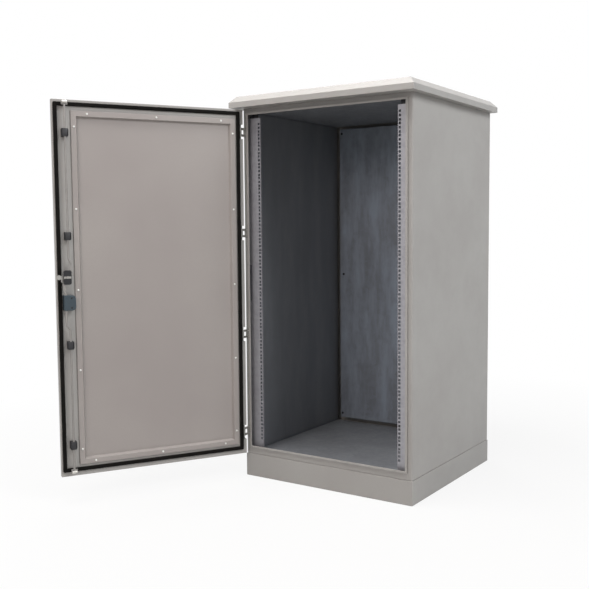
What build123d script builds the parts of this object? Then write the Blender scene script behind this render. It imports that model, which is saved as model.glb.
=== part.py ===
from build123d import *
import math
import os

# Roadside utility cabinet: folded steel body on a plinth, canopy with sloped edges, one
# left-hung door standing open, three-point lock on the door, two square-hole mounting rails.
# Millimetres. Origin at the centre of the plinth's base, +X to the viewer's right, front at
# -Y, +Z up. Door pieces are drawn with the door closed and then swung about the hinge line.

# Overall body
BODY_W = 780.0
BODY_D = 755.0
BODY_H = 1450.0
PLINTH_H = 96.0
SHEET = 1.5
EDGE_R = 3.0
CORNER_R = 6.0
SEAM_H = 3.5

# Front frame: flange, raised sealing lip and the hem folded flat behind the lip
FLANGE_SIDE = 20.0
FLANGE_TOP = 18.0
FLANGE_BOTTOM = 28.0
LIP_W = 8.0
LIP_PROUD = 6.0
HEM_W = 5.0
REAR_RETURN = 22.0
END_FLANGE = 7.0

# Canopy
CANOPY_FRONT = 58.0
CANOPY_SIDE = 30.0
CANOPY_REAR = 7.0
FASCIA_H = 22.0
HIP_RUN = 24.0
HIP_RISE = 25.0
CANOPY_BEARING = 16.0
CANOPY_BOLT_IN = 9.0
CANOPY_BOLT_END = 90.0
M6_R = 3.0
M6_HEAD_R = 5.0
M6_HEAD_H = 4.0
M6_LEN = 10.0

# Door
DOOR_T = 25.0
DOOR_GAP_HINGE = -1.5
DOOR_GAP_FREE = 10.0
DOOR_GAP_TOP = 6.0
DOOR_GAP_BOTTOM = 8.0
DOOR_OPEN_DEG = 119.7
GASKET_W = 14.0
GASKET_H = 7.9
GASKET_GAP = 0.3
GASKET_IN_SIDE = 1.0
GASKET_IN_END = 3.5
GASKET_CORNER_R = 1.5
GASKET_CORNER_OUT_R = 4.0
GASKET_ROUND = 3.0

# Door liner
LOCK_STRIP = 50.0
LINER_GAP_HINGE = 6.0
LINER_GAP_TOP = 16.5
LINER_GAP_BOTTOM = 10.5
LINER_RIM = 20.0
LINER_STAND = 5.0
LINER_RECESS = 12.0
LINER_SLOPE = 6.0
WINDOW_BACK = 1.0
LINER_SCREW_IN = 11.5
LINER_SCREW_IN_END = 10.5
LINER_SCREW_LEN = 8.0
LINER_SCREW_FIRST_Z = 60.0
LINER_SCREW_FIRST_X = 62.0
M4_R = 2.0
M4_HEAD_R = 4.0
M4_HEAD_H = 2.4
SCREW_FREE = 0.1

# Hinges: the pin stands in the thickness of the door, at the body's corner
HINGE_PIN_IN = 5.0
HINGE_PIN_FORWARD = 26.0
HINGE_BARREL_R = 5.0
HINGE_PIN_R = 2.5
HINGE_LEN = 36.0
HINGE_MIDDLE = 16.0
HINGE_LEAF_T = 3.0
HINGE_END_IN = 90.0
HINGE_INNER = 212.0
HINGE_SCREW_PITCH = 22.0
HINGE_SCREW_IN = 14.0
HINGE_HEAD_R = 3.6
HINGE_HEAD_H = 1.9
HINGE_LEAF_EDGE = 2.0
HINGE_LEAF_W = 16.5
HINGE_NOTCH_H = 60.0
HINGE_NOTCH_W = 14.5
HINGE_NOTCH_BACK = 10.0
HINGE_GAP = 0.3
LEAF_CRANK_OUT = 8.0
LEAF_PLATE_END = 36.0
RUNNING_FIT = 0.05

# Three-point lock: rods, guides, crank, tongue, rollers
ROD_IN = 43.5
ROD_STANDOFF = 22.2
ROD_R = 4.0
FLAT_T = 4.0
FLAT_W = 10.0
HUB_IN = 37.0
HUB_ABOVE_MID = 52.0
CRANK_R = 17.0
CRANK_PIN_R = 3.0
CRANK_W = 30.0
CRANK_H = 54.0
CRANK_T = 3.5
CRANK_CORNER = 7.0
LAYER_GAP = 0.5
TONGUE_T = 3.0
TONGUE_GAP = 1.0
TONGUE_REACH = 39.0
TONGUE_W = 18.0
TONGUE_NECK = 12.0
SPINDLE_R = 4.5
BEARING_R = 11.0
WASHER_R = 5.0
WASHER_T = 1.0
BOLT_AF = 8.0
BOLT_H = 2.2
BAR_LEN = 27.0
BAR_W = 8.0
BAR_PROUD = 0.8
SLOT_FREE = 0.6
SLOT_WALL = 3.0
ROD_FLAT_REACH = 52.0
FLAT_LAP = 4.0
LOWER_ROD_SHIFT = 5.0
JOGGLE_SHORT = (53.0, 63.0)
JOGGLE_UPPER = (58.0, 70.0)
JOGGLE_LOWER = (181.0, 199.0)
ROD_BEND_R = 8.0
ROLLER_R = 6.0
ROLLER_W = 19.0
ROLLER_PIN_R = 2.5
ROLLER_CHAMFER = 0.6
ROLLER_SIDE_GAP = 0.3
ROLLER_BASE_GAP = 2.0
ROLLER_BEYOND_TOP = 9.0
ROLLER_BEYOND_BOTTOM = 7.0
FORK_CHEEK_T = 1.5
FORK_CHEEK_R = 4.0
FORK_BASE_T = 2.5
GUIDE_W = 22.0
GUIDE_H = 30.0
GUIDE_OVER = 6.0
GUIDE_ROUND = 6.0
GUIDE_END_IN = 124.0
GUIDE_INNER = 207.5

# Outside handle, lock cylinder and the box behind it
BASE_W = 38.0
BASE_T = 7.0
BASE_ABOVE = 30.0
BASE_BELOW = 166.0
BASE_CORNER = 8.0
BASE_EDGE = 2.0
HUB_R = 14.0
HUB_T = 11.0
HUB_EDGE = 1.5
HUB_GAP = 0.5
HUB_BOSS_R = 8.0
HUB_BOSS_FREE = 1.0
HUB_FLOOR = 1.0
FORK_HALF = 6.0
LEVER_GAP = 0.6
LEVER_ROOT_HALF = 5.7
LEVER_ROOT_DROP = 16.5
LEVER_LEN = 134.0
LEVER_W = 24.0
LEVER_EDGE = 2.5
LEVER_EYE_R = 10.0
LEVER_PIN_R = 2.5
LEVER_PIN_BACK = 0.2
CYLINDER_DROP = 95.0
CYLINDER_R = 11.0
PLUG_R = 7.0
PLUG_PROUD = 0.2
PLUG_LEN = 30.0
KEYWAY_W = 1.6
KEYWAY_H = 9.0
KEYWAY_DEPTH = 12.0
LOCK_BOX_W = 44.0
LOCK_BOX_H = 58.0
LOCK_BOX_T = 29.5
LOCK_BOX_WALL = 1.8
LOCK_BOX_ROUND = 14.0
LOCK_BOX_CORNER = 2.0
LOCK_BOX_EDGE = 1.5
LOCK_BOX_SHIFT_X = -7.0
LOCK_BOX_SHIFT_Z = -1.5
LOCK_BOX_POST_R = 4.0
ROD_TUNNEL_FREE = 1.0
CYLINDER_INTO_BOX = 7.0
BOX_SCREW_HIGH = (-13.0, 17.0)
BOX_SCREW_LOW = (-13.0, -20.0)
BOX_HEAD_R = 3.4
BOX_HEAD_H = 1.8

# Inside: liners, mounting plate, rails
LINER_SHEET = 1.2
SIDE_LINER_IN = 24.0
SIDE_LINER_FLANGE = 18.0
CEILING_DOWN = 10.0
FLOOR_UP = 10.0
LINER_GAP = 0.3
LINER_REAR_IN = 45.0
END_LINER_IN = 16.0
PLATE_FROM_REAR = 50.0
PLATE_T = 2.5
PLATE_SIDE_GAP = 45.0
PLATE_TOP_GAP = 25.0
PLATE_BOTTOM_GAP = 28.0
PLATE_HOLE_IN_X = 10.0
PLATE_HOLE_IN_Z = 20.0
PLATE_MID_IN_X = 18.0
PLATE_MID_Z = 828.0
SPACER_R = 8.0
PLATE_BOLT_R = 4.0
PLATE_BOLT_HEAD_R = 5.6
PLATE_BOLT_HEAD_H = 3.5
PLATE_BOLT_LEN = 22.0
RAIL_SETBACK = 20.0
RAIL_T = 2.0
RAIL_FACE_W = 71.0
RAIL_INNER_RETURN = 8.0
RAIL_WALL_FLANGE = 25.0
RAIL_HOLE = 9.5
RAIL_HOLE_IN = 8.0
RAIL_FLOOR_GAP = 20.0
RAIL_CEILING_GAP = 29.0
RACK_UNIT = 44.45
UNIT_HOLES = (6.35, 22.225, 38.1)
UNIT_COUNT = 30
RAIL_FIRST_UNIT = 30.25
RAIL_SLOT_W = 12.0
RAIL_SLOT_H = 148.0
RAIL_SLOT_X = 375.0
RAIL_SLOT_Z = 825.0
BRACKET_T = 3.0
BRACKET_W = 30.0
BRACKET_LAP = 18.0
BRACKET_FOOT = 30.0
BRACKET_IN = 12.0

# Plinth
PLINTH_T = 2.0
PLINTH_TOP_FLANGE = 34.0
PLINTH_FOOT_FLANGE = 60.0
MITRE_REACH = 100.0
PLINTH_EDGE_R = 2.4
PLINTH_PROUD = 1.5
ANCHOR_R = 7.0
ANCHOR_IN_X = 60.0
ANCHOR_IN_Y = 30.0
M8_R = 4.0
M8_HEAD_R = 6.5
M8_HEAD_H = 5.0
BOLT_PAST = 4.0
BOLT_IN_X = 130.0
BOLT_IN_Y = 20.0

# Derived planes
FRONT = -BODY_D / 2
REAR = BODY_D / 2
HALF_W = BODY_W / 2
WALL_IN = HALF_W - SHEET
BODY_Z0 = PLINTH_H
BODY_Z1 = PLINTH_H + BODY_H
LIP_FRONT = FRONT - LIP_PROUD
LIP_X = HALF_W - FLANGE_SIDE
LIP_Z0 = BODY_Z0 + FLANGE_BOTTOM
LIP_Z1 = BODY_Z1 - FLANGE_TOP
OPEN_X = LIP_X - LIP_W
OPEN_Z0 = LIP_Z0 + LIP_W
OPEN_Z1 = LIP_Z1 - LIP_W
DOOR_IN = LIP_FRONT - GASKET_GAP - GASKET_H
DOOR_OUT = DOOR_IN - DOOR_T
DOOR_X0 = -HALF_W + DOOR_GAP_HINGE
DOOR_X1 = HALF_W - DOOR_GAP_FREE
DOOR_Z0 = BODY_Z0 + DOOR_GAP_BOTTOM
DOOR_Z1 = BODY_Z1 - DOOR_GAP_TOP
DOOR_MID = (DOOR_Z0 + DOOR_Z1) / 2
SEAL_X = OPEN_X - GASKET_IN_SIDE
SEAL_Z0 = OPEN_Z0 + GASKET_IN_END
SEAL_Z1 = OPEN_Z1 - GASKET_IN_END
LINER_X0 = -SEAL_X + LINER_GAP_HINGE
LINER_X1 = SEAL_X - LOCK_STRIP
LINER_Z0 = SEAL_Z0 + LINER_GAP_BOTTOM
LINER_Z1 = SEAL_Z1 - LINER_GAP_TOP
LINER_TOP = DOOR_IN + LINER_STAND
PIN_X = -HALF_W + HINGE_PIN_IN
PIN_Y = FRONT - HINGE_PIN_FORWARD
HINGE_LINE = Axis((PIN_X, PIN_Y, 0), (0, 0, 1))
ROD_X = DOOR_X1 - ROD_IN
ROD_Y = DOOR_IN + ROD_STANDOFF
HUB_X = DOOR_X1 - HUB_IN
HUB_Z = DOOR_MID + HUB_ABOVE_MID
CRANK_SIDE = CRANK_R * math.sin(math.radians(45))
CRANK_Y = ROD_Y + FLAT_T / 2 + LAYER_GAP
TONGUE_Y = ROD_Y - FLAT_T / 2 - TONGUE_GAP - TONGUE_T
BASE_FRONT = DOOR_OUT - BASE_T
HUB_BACK = BASE_FRONT - HUB_GAP
HUB_FRONT = HUB_BACK - HUB_T
LEVER_BACK = BASE_FRONT - LEVER_GAP
LEVER_FRONT = HUB_FRONT
ROOT_BACK = HUB_BACK - HUB_FLOOR - LAYER_GAP
ROOT_R = (ROOT_BACK - HUB_FRONT) / 2
LEVER_PIN_Y = (ROOT_BACK + HUB_FRONT) / 2
CYLINDER_Z = HUB_Z - CYLINDER_DROP
CEILING_Z = BODY_Z1 - CEILING_DOWN
FLOOR_Z = BODY_Z0 + FLOOR_UP
RAIL_Y = FRONT + RAIL_SETBACK
RAIL_IN_X = WALL_IN - RAIL_FACE_W
RAIL_Z0 = FLOOR_Z + RAIL_FLOOR_GAP
RAIL_Z1 = CEILING_Z - RAIL_CEILING_GAP
SIDE_LINER_X = HALF_W - SIDE_LINER_IN
PLATE_Y = REAR - PLATE_FROM_REAR
REAR_WALL_Y = REAR - 2 * SHEET
LINER_REAR = REAR - LINER_REAR_IN
HINGE_ZS = (DOOR_Z1 - HINGE_END_IN, DOOR_MID + HINGE_INNER,
            DOOR_MID - HINGE_INNER, DOOR_Z0 + HINGE_END_IN)
GUIDE_ZS = (DOOR_Z1 - GUIDE_END_IN, DOOR_MID + GUIDE_INNER,
            DOOR_MID - GUIDE_INNER, DOOR_Z0 + GUIDE_END_IN)


def block(x0, x1, y0, y1, z0, z1):
    """A box between two corners, given in any order."""
    size = Box(abs(x1 - x0), abs(y1 - y0), abs(z1 - z0))
    return Pos((x0 + x1) / 2, (y0 + y1) / 2, (z0 + z1) / 2) * size


def ring(half_x, z0, z1, wall, y0, y1):
    """A rectangular ring in the XZ plane, wall wide, between two depths."""
    outer = block(-half_x, half_x, y0, y1, z0, z1)
    inner = block(-half_x + wall, half_x - wall, y0 - 1, y1 + 1, z0 + wall, z1 - wall)
    return outer - inner


def prism_y(face, y0, y1):
    """A face sketched with X across and Z up, pushed from one depth to the other."""
    return Pos(0, y0, 0) * extrude(Plane.XZ * face, amount=y1 - y0, dir=(0, 1, 0))


def outline(*points):
    """A closed polygon as a face."""
    return make_face(Polyline(*points, close=True))


def bar_y(x, z, radius, y0, y1):
    """A round bar along Y."""
    return Pos(x, (y0 + y1) / 2, z) * Rot(90, 0, 0) * Cylinder(radius, abs(y1 - y0))


def bar_x(y, z, radius, x0, x1):
    """A round bar along X."""
    return Pos((x0 + x1) / 2, y, z) * Rot(0, 90, 0) * Cylinder(radius, abs(x1 - x0))


def bar_z(x, y, radius, z0, z1):
    """A round bar along Z."""
    return Pos(x, y, (z0 + z1) / 2) * Cylinder(radius, abs(z1 - z0))


HEAD_RIM = 0.55
HEAD_CROWN = 0.62


def pan_head(x, z, face_y, head_r, head_h, shank_r, shank_len):
    """A pan-head screw along Y, its head standing inward of the face it holds."""
    profile = Polyline((0, -shank_len), (shank_r, -shank_len), (shank_r, 0), (head_r, 0),
                       (head_r, head_h * HEAD_RIM), (head_r * HEAD_CROWN, head_h), (0, head_h), close=True)
    screw = revolve(make_face(profile), Axis.Y)
    return Pos(x, face_y, z) * screw


def mirrored(shape):
    """The same piece on the other side of the cabinet."""
    return mirror(shape, about=Plane.YZ)


def save(name, *solids):
    """Write one node: one solid, or a group of separate ones."""
    shape = solids[0] if len(solids) == 1 else Compound(children=list(solids))
    export_step(shape, f"parts/{name}.step")


def save_door(name, *solids):
    """Write a node of the door, swung to the angle at which the door stands."""
    save(name, *[solid.rotate(HINGE_LINE, -DOOR_OPEN_DEG) for solid in solids])


# Body

def front_ring():
    """The whole front frame, before it is shared out between posts and members."""
    flange = block(-HALF_W, HALF_W, FRONT, FRONT + SHEET, BODY_Z0 + SEAM_H, BODY_Z1)
    flange -= block(-LIP_X + SHEET, LIP_X - SHEET, FRONT - 1, FRONT + SHEET + 1,
                    LIP_Z0 + SHEET, LIP_Z1 - SHEET)
    step = ring(LIP_X, LIP_Z0, LIP_Z1, SHEET, LIP_FRONT, FRONT + SHEET)
    face = ring(LIP_X, LIP_Z0, LIP_Z1, LIP_W, LIP_FRONT, LIP_FRONT + SHEET)
    hem = ring(OPEN_X + HEM_W, OPEN_Z0 - HEM_W, OPEN_Z1 + HEM_W, HEM_W,
               LIP_FRONT + SHEET, LIP_FRONT + 2 * SHEET)
    return flange + step + face + hem


def upright_edges(shape, x, y):
    """The vertical edges of a shape that stand at the given place."""
    edges = shape.edges().filter_by(Axis.Z)
    edges = edges.filter_by_position(Axis.X, x - 0.01, x + 0.01)
    return edges.filter_by_position(Axis.Y, y - 0.01, y + 0.01)


def side_panel(frame):
    """Right side wall, folded forward into the post and behind into the rear return."""
    post_area = outline((HALF_W, BODY_Z0), (HALF_W, BODY_Z1), (LIP_X, BODY_Z1), (LIP_X, LIP_Z1),
                        (OPEN_X, OPEN_Z1), (OPEN_X, OPEN_Z0), (LIP_X, LIP_Z0), (LIP_X, BODY_Z0))
    post = frame & prism_y(post_area, LIP_FRONT - 1, FRONT + SHEET + 1)
    wall = block(WALL_IN, HALF_W, FRONT, REAR, BODY_Z0 + SEAM_H, BODY_Z1)
    rear_return = block(HALF_W - REAR_RETURN, HALF_W, REAR - SHEET, REAR, BODY_Z0 + SEAM_H, BODY_Z1)
    panel = post + wall + rear_return
    panel = fillet(upright_edges(panel, HALF_W, REAR), EDGE_R)
    panel = fillet(upright_edges(panel, WALL_IN, FRONT + SHEET), CORNER_R - SHEET)
    return fillet(upright_edges(panel, HALF_W, FRONT), CORNER_R)


def front_member(frame, edge_z, lip_z, opening_z):
    """Front member between the posts, over or under the opening."""
    area = outline((-LIP_X, edge_z), (LIP_X, edge_z), (LIP_X, lip_z),
                   (OPEN_X, opening_z), (-OPEN_X, opening_z), (-LIP_X, lip_z))
    return frame & prism_y(area, LIP_FRONT - 1, FRONT + SHEET + 1)


def rounded_front(inset, rear_y, z0, z1):
    """A slab inside the body, its front corners following the posts at the given inset."""
    half_x = HALF_W - inset
    slab = block(-half_x, half_x, FRONT + inset, rear_y, z0, z1)
    corners = slab.edges().filter_by(Axis.Z).group_by(Axis.Y)[0]
    return fillet(corners, CORNER_R - inset)


def end_panel(z0, z1, flange_z):
    """Top or bottom panel: a sheet with a flange turned in along the front and the side walls."""
    rim = rounded_front(SHEET, REAR_WALL_Y, z0, flange_z)
    rim -= rounded_front(2 * SHEET, REAR, z0, flange_z)
    return rounded_front(SHEET, REAR - SHEET, z0, z1) + rim


def bolt_holes(points, radius, z0, z1):
    """Clearance holes along Z at the given places."""
    return [bar_z(x, y, radius + SCREW_FREE, z0 - 1, z1 + 1) for x, y in points]


def canopy_bolt_places():
    x = HALF_W - CANOPY_BOLT_IN
    y = REAR - CANOPY_BOLT_END
    return [(sx * x, sy * y) for sx in (-1, 1) for sy in (-1, 1)]


def plinth_bolt_places():
    x = HALF_W - BOLT_IN_X
    y = REAR - BOLT_IN_Y
    return [(sx * x, sy * y) for sx in (-1, 1) for sy in (-1, 1)]


def hinge_screw_places():
    """Screw places of all the hinge leaves on the left post."""
    x = -HALF_W + HINGE_SCREW_IN
    return [(x, z + side * HINGE_SCREW_PITCH / 2) for z in HINGE_ZS for side in (-1, 1)]


def make_body():
    frame = front_ring()
    right = side_panel(frame)
    save("right_side_panel", right)
    left = mirrored(right)
    for x, z in hinge_screw_places():
        left -= bar_y(x, z, M4_R + SCREW_FREE, FRONT - 1, FRONT + SHEET + 1)
    save("left_side_panel", left)
    save("front_member_top", front_member(frame, BODY_Z1, LIP_Z1, OPEN_Z1))
    save("front_member_bottom", front_member(frame, BODY_Z0, LIP_Z0, OPEN_Z0))
    top = end_panel(BODY_Z1 - SHEET, BODY_Z1, BODY_Z1 - END_FLANGE)
    bottom = end_panel(BODY_Z0 + SHEET, BODY_Z0, BODY_Z0 + END_FLANGE)
    top -= bolt_holes(canopy_bolt_places(), M6_R, BODY_Z1 - SHEET, BODY_Z1)
    bottom -= bolt_holes(plinth_bolt_places(), M8_R, BODY_Z0, BODY_Z0 + SHEET)
    save("top_panel", top)
    save("bottom_panel", bottom)
    save("rear_panel", block(-WALL_IN, WALL_IN, REAR_WALL_Y, REAR - SHEET,
                             BODY_Z0 + SHEET, BODY_Z1 - SHEET))


# Plinth: four folded channels, mitred at the corners

def plinth_channel(half_x, half_y):
    """Front channel of a plinth of the given half sizes: web, top flange and foot flange."""
    web = block(-half_x, half_x, -half_y, -half_y + PLINTH_T, 0, PLINTH_H)
    top = block(-half_x, half_x, -half_y, -half_y + PLINTH_TOP_FLANGE, PLINTH_H - PLINTH_T, PLINTH_H)
    foot = block(-half_x, half_x, -half_y, -half_y + PLINTH_FOOT_FLANGE, 0, PLINTH_T)
    channel = web + top + foot
    outer = channel.edges().filter_by(Axis.X).filter_by_position(Axis.Y, -half_y - 0.01, -half_y + 0.01)
    channel = fillet(outer, PLINTH_EDGE_R)
    mitre = outline((-half_x, -half_y), (half_x, -half_y),
                    (half_x - MITRE_REACH, -half_y + MITRE_REACH),
                    (-half_x + MITRE_REACH, -half_y + MITRE_REACH))
    return channel & extrude(mitre, amount=PLINTH_H, dir=(0, 0, 1))


def bolt_up(x, y, z, shank_r, head_r, head_h, length):
    """A hexagon bolt pointing up, its head under the given height."""
    head = extrude(RegularPolygon(head_r, 6), amount=head_h, dir=(0, 0, -1))
    return Pos(x, y, z) * (head + Pos(0, 0, length / 2) * Cylinder(shank_r, length))


def make_plinth():
    front = plinth_channel(HALF_W + PLINTH_PROUD, REAR + PLINTH_PROUD)
    anchor_y = FRONT + ANCHOR_IN_Y
    for anchor_x in (-HALF_W + ANCHOR_IN_X, HALF_W - ANCHOR_IN_X):
        front -= bar_z(anchor_x, anchor_y, ANCHOR_R, -1, PLINTH_T + 1)
    front -= bolt_holes([(x, y) for x, y in plinth_bolt_places() if y < 0], M8_R,
                        PLINTH_H - PLINTH_T, PLINTH_H)
    side = Rot(0, 0, 90) * plinth_channel(REAR + PLINTH_PROUD, HALF_W + PLINTH_PROUD)
    save("plinth_front", front)
    save("plinth_rear", Rot(0, 0, 180) * front)
    save("plinth_right", side)
    save("plinth_left", mirrored(side))
    length = PLINTH_T + SHEET + BOLT_PAST
    save("plinth_bolts", *[bolt_up(x, y, PLINTH_H - PLINTH_T, M8_R, M8_HEAD_R, M8_HEAD_H, length)
                           for x, y in plinth_bolt_places()])


# Canopy

def canopy_form(inset):
    """The canopy's outer form, drawn smaller all round by the given inset."""
    x = HALF_W + CANOPY_SIDE - inset
    y0 = FRONT - CANOPY_FRONT + inset
    y1 = REAR + CANOPY_REAR - inset
    mid_y = (y0 + y1) / 2
    z0 = BODY_Z1 + inset
    slope_deg = math.degrees(math.atan2(HIP_RISE, HIP_RUN))
    z1 = BODY_Z1 + FASCIA_H - inset * math.tan(math.radians(slope_deg / 2))
    z2 = BODY_Z1 + FASCIA_H + HIP_RISE - inset
    run = HIP_RUN * (z2 - z1) / HIP_RISE
    skirt = block(-x, x, y0, y1, z0, z1)
    low = Pos(0, mid_y, z1) * Rectangle(2 * x, y1 - y0)
    high = Pos(0, mid_y, z2) * Rectangle(2 * (x - run), y1 - y0 - 2 * run)
    return skirt + loft([low.face(), high.face()])


def make_canopy():
    shell = canopy_form(0) - canopy_form(SHEET)
    inner_x = HALF_W - CANOPY_BEARING
    shell -= block(-inner_x, inner_x, FRONT + CANOPY_BEARING, REAR - CANOPY_BEARING,
                   BODY_Z1 - 1, BODY_Z1 + SHEET + 1)
    shell -= bolt_holes(canopy_bolt_places(), M6_R, BODY_Z1, BODY_Z1 + SHEET)
    save("canopy", shell)
    save("canopy_bolts", *[bolt_up(x, y, BODY_Z1 - SHEET, M6_R, M6_HEAD_R, M6_HEAD_H, M6_LEN)
                           for x, y in canopy_bolt_places()])


# Interior

def side_liner():
    """Right inner lining: a panel standing off the side wall on its two folded edges."""
    z0 = FLOOR_Z + LINER_GAP
    z1 = CEILING_Z - LINER_SHEET - LINER_GAP
    y0 = RAIL_Y + RAIL_WALL_FLANGE + RAIL_T + LINER_GAP
    panel = block(SIDE_LINER_X, SIDE_LINER_X + LINER_SHEET, y0, LINER_REAR, z0, z1)
    for edge_y in (y0, LINER_REAR - LINER_SHEET):
        panel += block(SIDE_LINER_X, WALL_IN, edge_y, edge_y + LINER_SHEET, z0, z1)
        panel += block(WALL_IN - LINER_SHEET, WALL_IN, edge_y,
                       edge_y + math.copysign(SIDE_LINER_FLANGE, -edge_y), z0, z1)
    return panel


def end_liner(face_z, wall_z):
    """Ceiling or floor lining: a sheet with side edges folded to meet the outer panel."""
    inward = math.copysign(LINER_SHEET, wall_z - face_z)
    x = HALF_W - END_LINER_IN
    y0 = RAIL_Y
    liner = block(-x, x, y0, LINER_REAR, face_z, face_z + inward)
    for edge_x in (-x, x - LINER_SHEET):
        liner += block(edge_x, edge_x + LINER_SHEET, y0, LINER_REAR, face_z, wall_z)
    return liner


def plate_places():
    """Fixing places of the mounting plate: four corners and two at mid height."""
    x = HALF_W - PLATE_SIDE_GAP - PLATE_HOLE_IN_X
    z_low = BODY_Z0 + PLATE_BOTTOM_GAP + PLATE_HOLE_IN_Z
    z_high = BODY_Z1 - PLATE_TOP_GAP - PLATE_HOLE_IN_Z
    mid_x = HALF_W - PLATE_SIDE_GAP - PLATE_MID_IN_X
    corners = [(sx * x, z) for sx in (-1, 1) for z in (z_low, z_high)]
    return corners, [(-mid_x, PLATE_MID_Z), (mid_x, PLATE_MID_Z)]


def make_mounting_plate():
    plate_x = HALF_W - PLATE_SIDE_GAP
    plate = block(-plate_x, plate_x, PLATE_Y, PLATE_Y + PLATE_T,
                  BODY_Z0 + PLATE_BOTTOM_GAP, BODY_Z1 - PLATE_TOP_GAP)
    corners, middles = plate_places()
    spacers = []
    bolts = []
    for x, z in corners + middles:
        plate -= bar_y(x, z, PLATE_BOLT_R + SCREW_FREE, PLATE_Y - 1, PLATE_Y + PLATE_T + 1)
        tube = bar_y(x, z, SPACER_R, PLATE_Y + PLATE_T, REAR_WALL_Y)
        spacers.append(tube - bar_y(x, z, PLATE_BOLT_R + SCREW_FREE, PLATE_Y, PLATE_Y + PLATE_BOLT_LEN))
        head = Pos(x, PLATE_Y, z) * extrude(Plane.XZ * RegularPolygon(PLATE_BOLT_HEAD_R, 6),
                                            amount=PLATE_BOLT_HEAD_H, dir=(0, -1, 0))
        bolts.append(head + bar_y(x, z, PLATE_BOLT_R, PLATE_Y, PLATE_Y + PLATE_BOLT_LEN - 1))
    save("mounting_plate", plate)
    save("plate_spacers", *spacers)
    save("plate_bolts", *bolts)


def rack_rail():
    """Right mounting rail: punched face, inner return and the flange on the side wall."""
    face = block(RAIL_IN_X, WALL_IN, RAIL_Y, RAIL_Y + RAIL_T, RAIL_Z0, RAIL_Z1)
    inner = block(RAIL_IN_X, RAIL_IN_X + RAIL_T, RAIL_Y, RAIL_Y + RAIL_INNER_RETURN, RAIL_Z0, RAIL_Z1)
    outer = block(WALL_IN - RAIL_T, WALL_IN, RAIL_Y, RAIL_Y + RAIL_WALL_FLANGE, RAIL_Z0, RAIL_Z1)
    hole_x = RAIL_IN_X + RAIL_HOLE_IN
    punches = Sketch()
    for unit in range(UNIT_COUNT):
        for offset in UNIT_HOLES:
            hole_z = RAIL_Z0 + RAIL_FIRST_UNIT + unit * RACK_UNIT + offset
            punches += Pos(hole_x, hole_z) * Rectangle(RAIL_HOLE, RAIL_HOLE)
    punches += Pos(RAIL_SLOT_X, RAIL_SLOT_Z) * Rectangle(RAIL_SLOT_W, RAIL_SLOT_H)
    return face - prism_y(punches, RAIL_Y - 1, RAIL_Y + RAIL_T + 1) + inner + outer


def rail_bracket(rail_end, seat):
    """Angle that carries one end of the right rail on the floor or ceiling lining."""
    along = math.copysign(1, rail_end - seat)
    x0 = RAIL_IN_X + BRACKET_IN
    x1 = x0 + BRACKET_W
    y0 = RAIL_Y + RAIL_T
    upright = block(x0, x1, y0, y0 + BRACKET_T, seat, rail_end + along * BRACKET_LAP)
    foot = block(x0, x1, y0, y0 + BRACKET_FOOT, seat, seat + along * BRACKET_T)
    return upright + foot


def make_interior():
    right = side_liner()
    save("right_side_liner", right)
    save("left_side_liner", mirrored(right))
    save("ceiling_liner", end_liner(CEILING_Z - LINER_SHEET, BODY_Z1 - SHEET))
    save("floor_liner", end_liner(FLOOR_Z, BODY_Z0 + SHEET))
    make_mounting_plate()
    rail = rack_rail()
    save("rack_rail_right", rail)
    save("rack_rail_left", mirrored(rail))
    low = rail_bracket(RAIL_Z0, FLOOR_Z)
    high = rail_bracket(RAIL_Z1, CEILING_Z - LINER_SHEET)
    save("rail_brackets", low, high, mirrored(low), mirrored(high))


# Hinges

def frame_leaf(z):
    """Leaf on the post: a plate with two arms carrying the end knuckles."""
    half = HINGE_LEN / 2
    plate = block(-HALF_W + HINGE_LEAF_EDGE, -HALF_W + HINGE_LEAF_EDGE + HINGE_LEAF_W,
                  FRONT - HINGE_LEAF_T, FRONT, z - half, z + half)
    arm_half = HINGE_LEAF_T / 2
    knuckle = block(PIN_X - arm_half, PIN_X + arm_half, PIN_Y, FRONT, z - half, z + half)
    knuckle += bar_z(PIN_X, PIN_Y, HINGE_BARREL_R, z - half, z + half)
    space = HINGE_MIDDLE / 2 + HINGE_GAP
    reach = HINGE_BARREL_R + 1
    knuckle -= block(PIN_X - reach, PIN_X + reach, PIN_Y - reach, FRONT - HINGE_LEAF_T, z - space, z + space)
    leaf = plate + knuckle - bar_z(PIN_X, PIN_Y, HINGE_PIN_R, z - half - 1, z + half + 1)
    for offset in (-HINGE_SCREW_PITCH / 2, HINGE_SCREW_PITCH / 2):
        leaf -= bar_y(-HALF_W + HINGE_SCREW_IN, z + offset, M4_R + SCREW_FREE,
                      FRONT - HINGE_LEAF_T - 1, FRONT + 1)
    return leaf


def door_leaf(z):
    """Leaf on the door: middle knuckle, crank through the notch, plate inside the rim."""
    half_middle = HINGE_MIDDLE / 2
    arm_half = HINGE_LEAF_T / 2
    plate_y = DOOR_IN - SHEET
    crank_x = PIN_X + LEAF_CRANK_OUT
    barrel = bar_z(PIN_X, PIN_Y, HINGE_BARREL_R, z - half_middle, z + half_middle)
    arm = block(PIN_X, crank_x, PIN_Y - arm_half, PIN_Y + arm_half, z - half_middle, z + half_middle)
    crank = block(crank_x, crank_x + HINGE_LEAF_T, PIN_Y - arm_half, plate_y,
                  z - half_middle, z + half_middle)
    plate = block(crank_x, PIN_X + LEAF_PLATE_END, plate_y - HINGE_LEAF_T, plate_y,
                  z - HINGE_LEN / 2, z + HINGE_LEN / 2)
    bore = bar_z(PIN_X, PIN_Y, HINGE_PIN_R + RUNNING_FIT, z - HINGE_LEN, z + HINGE_LEN)
    return barrel + arm + crank + plate - bore


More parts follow.
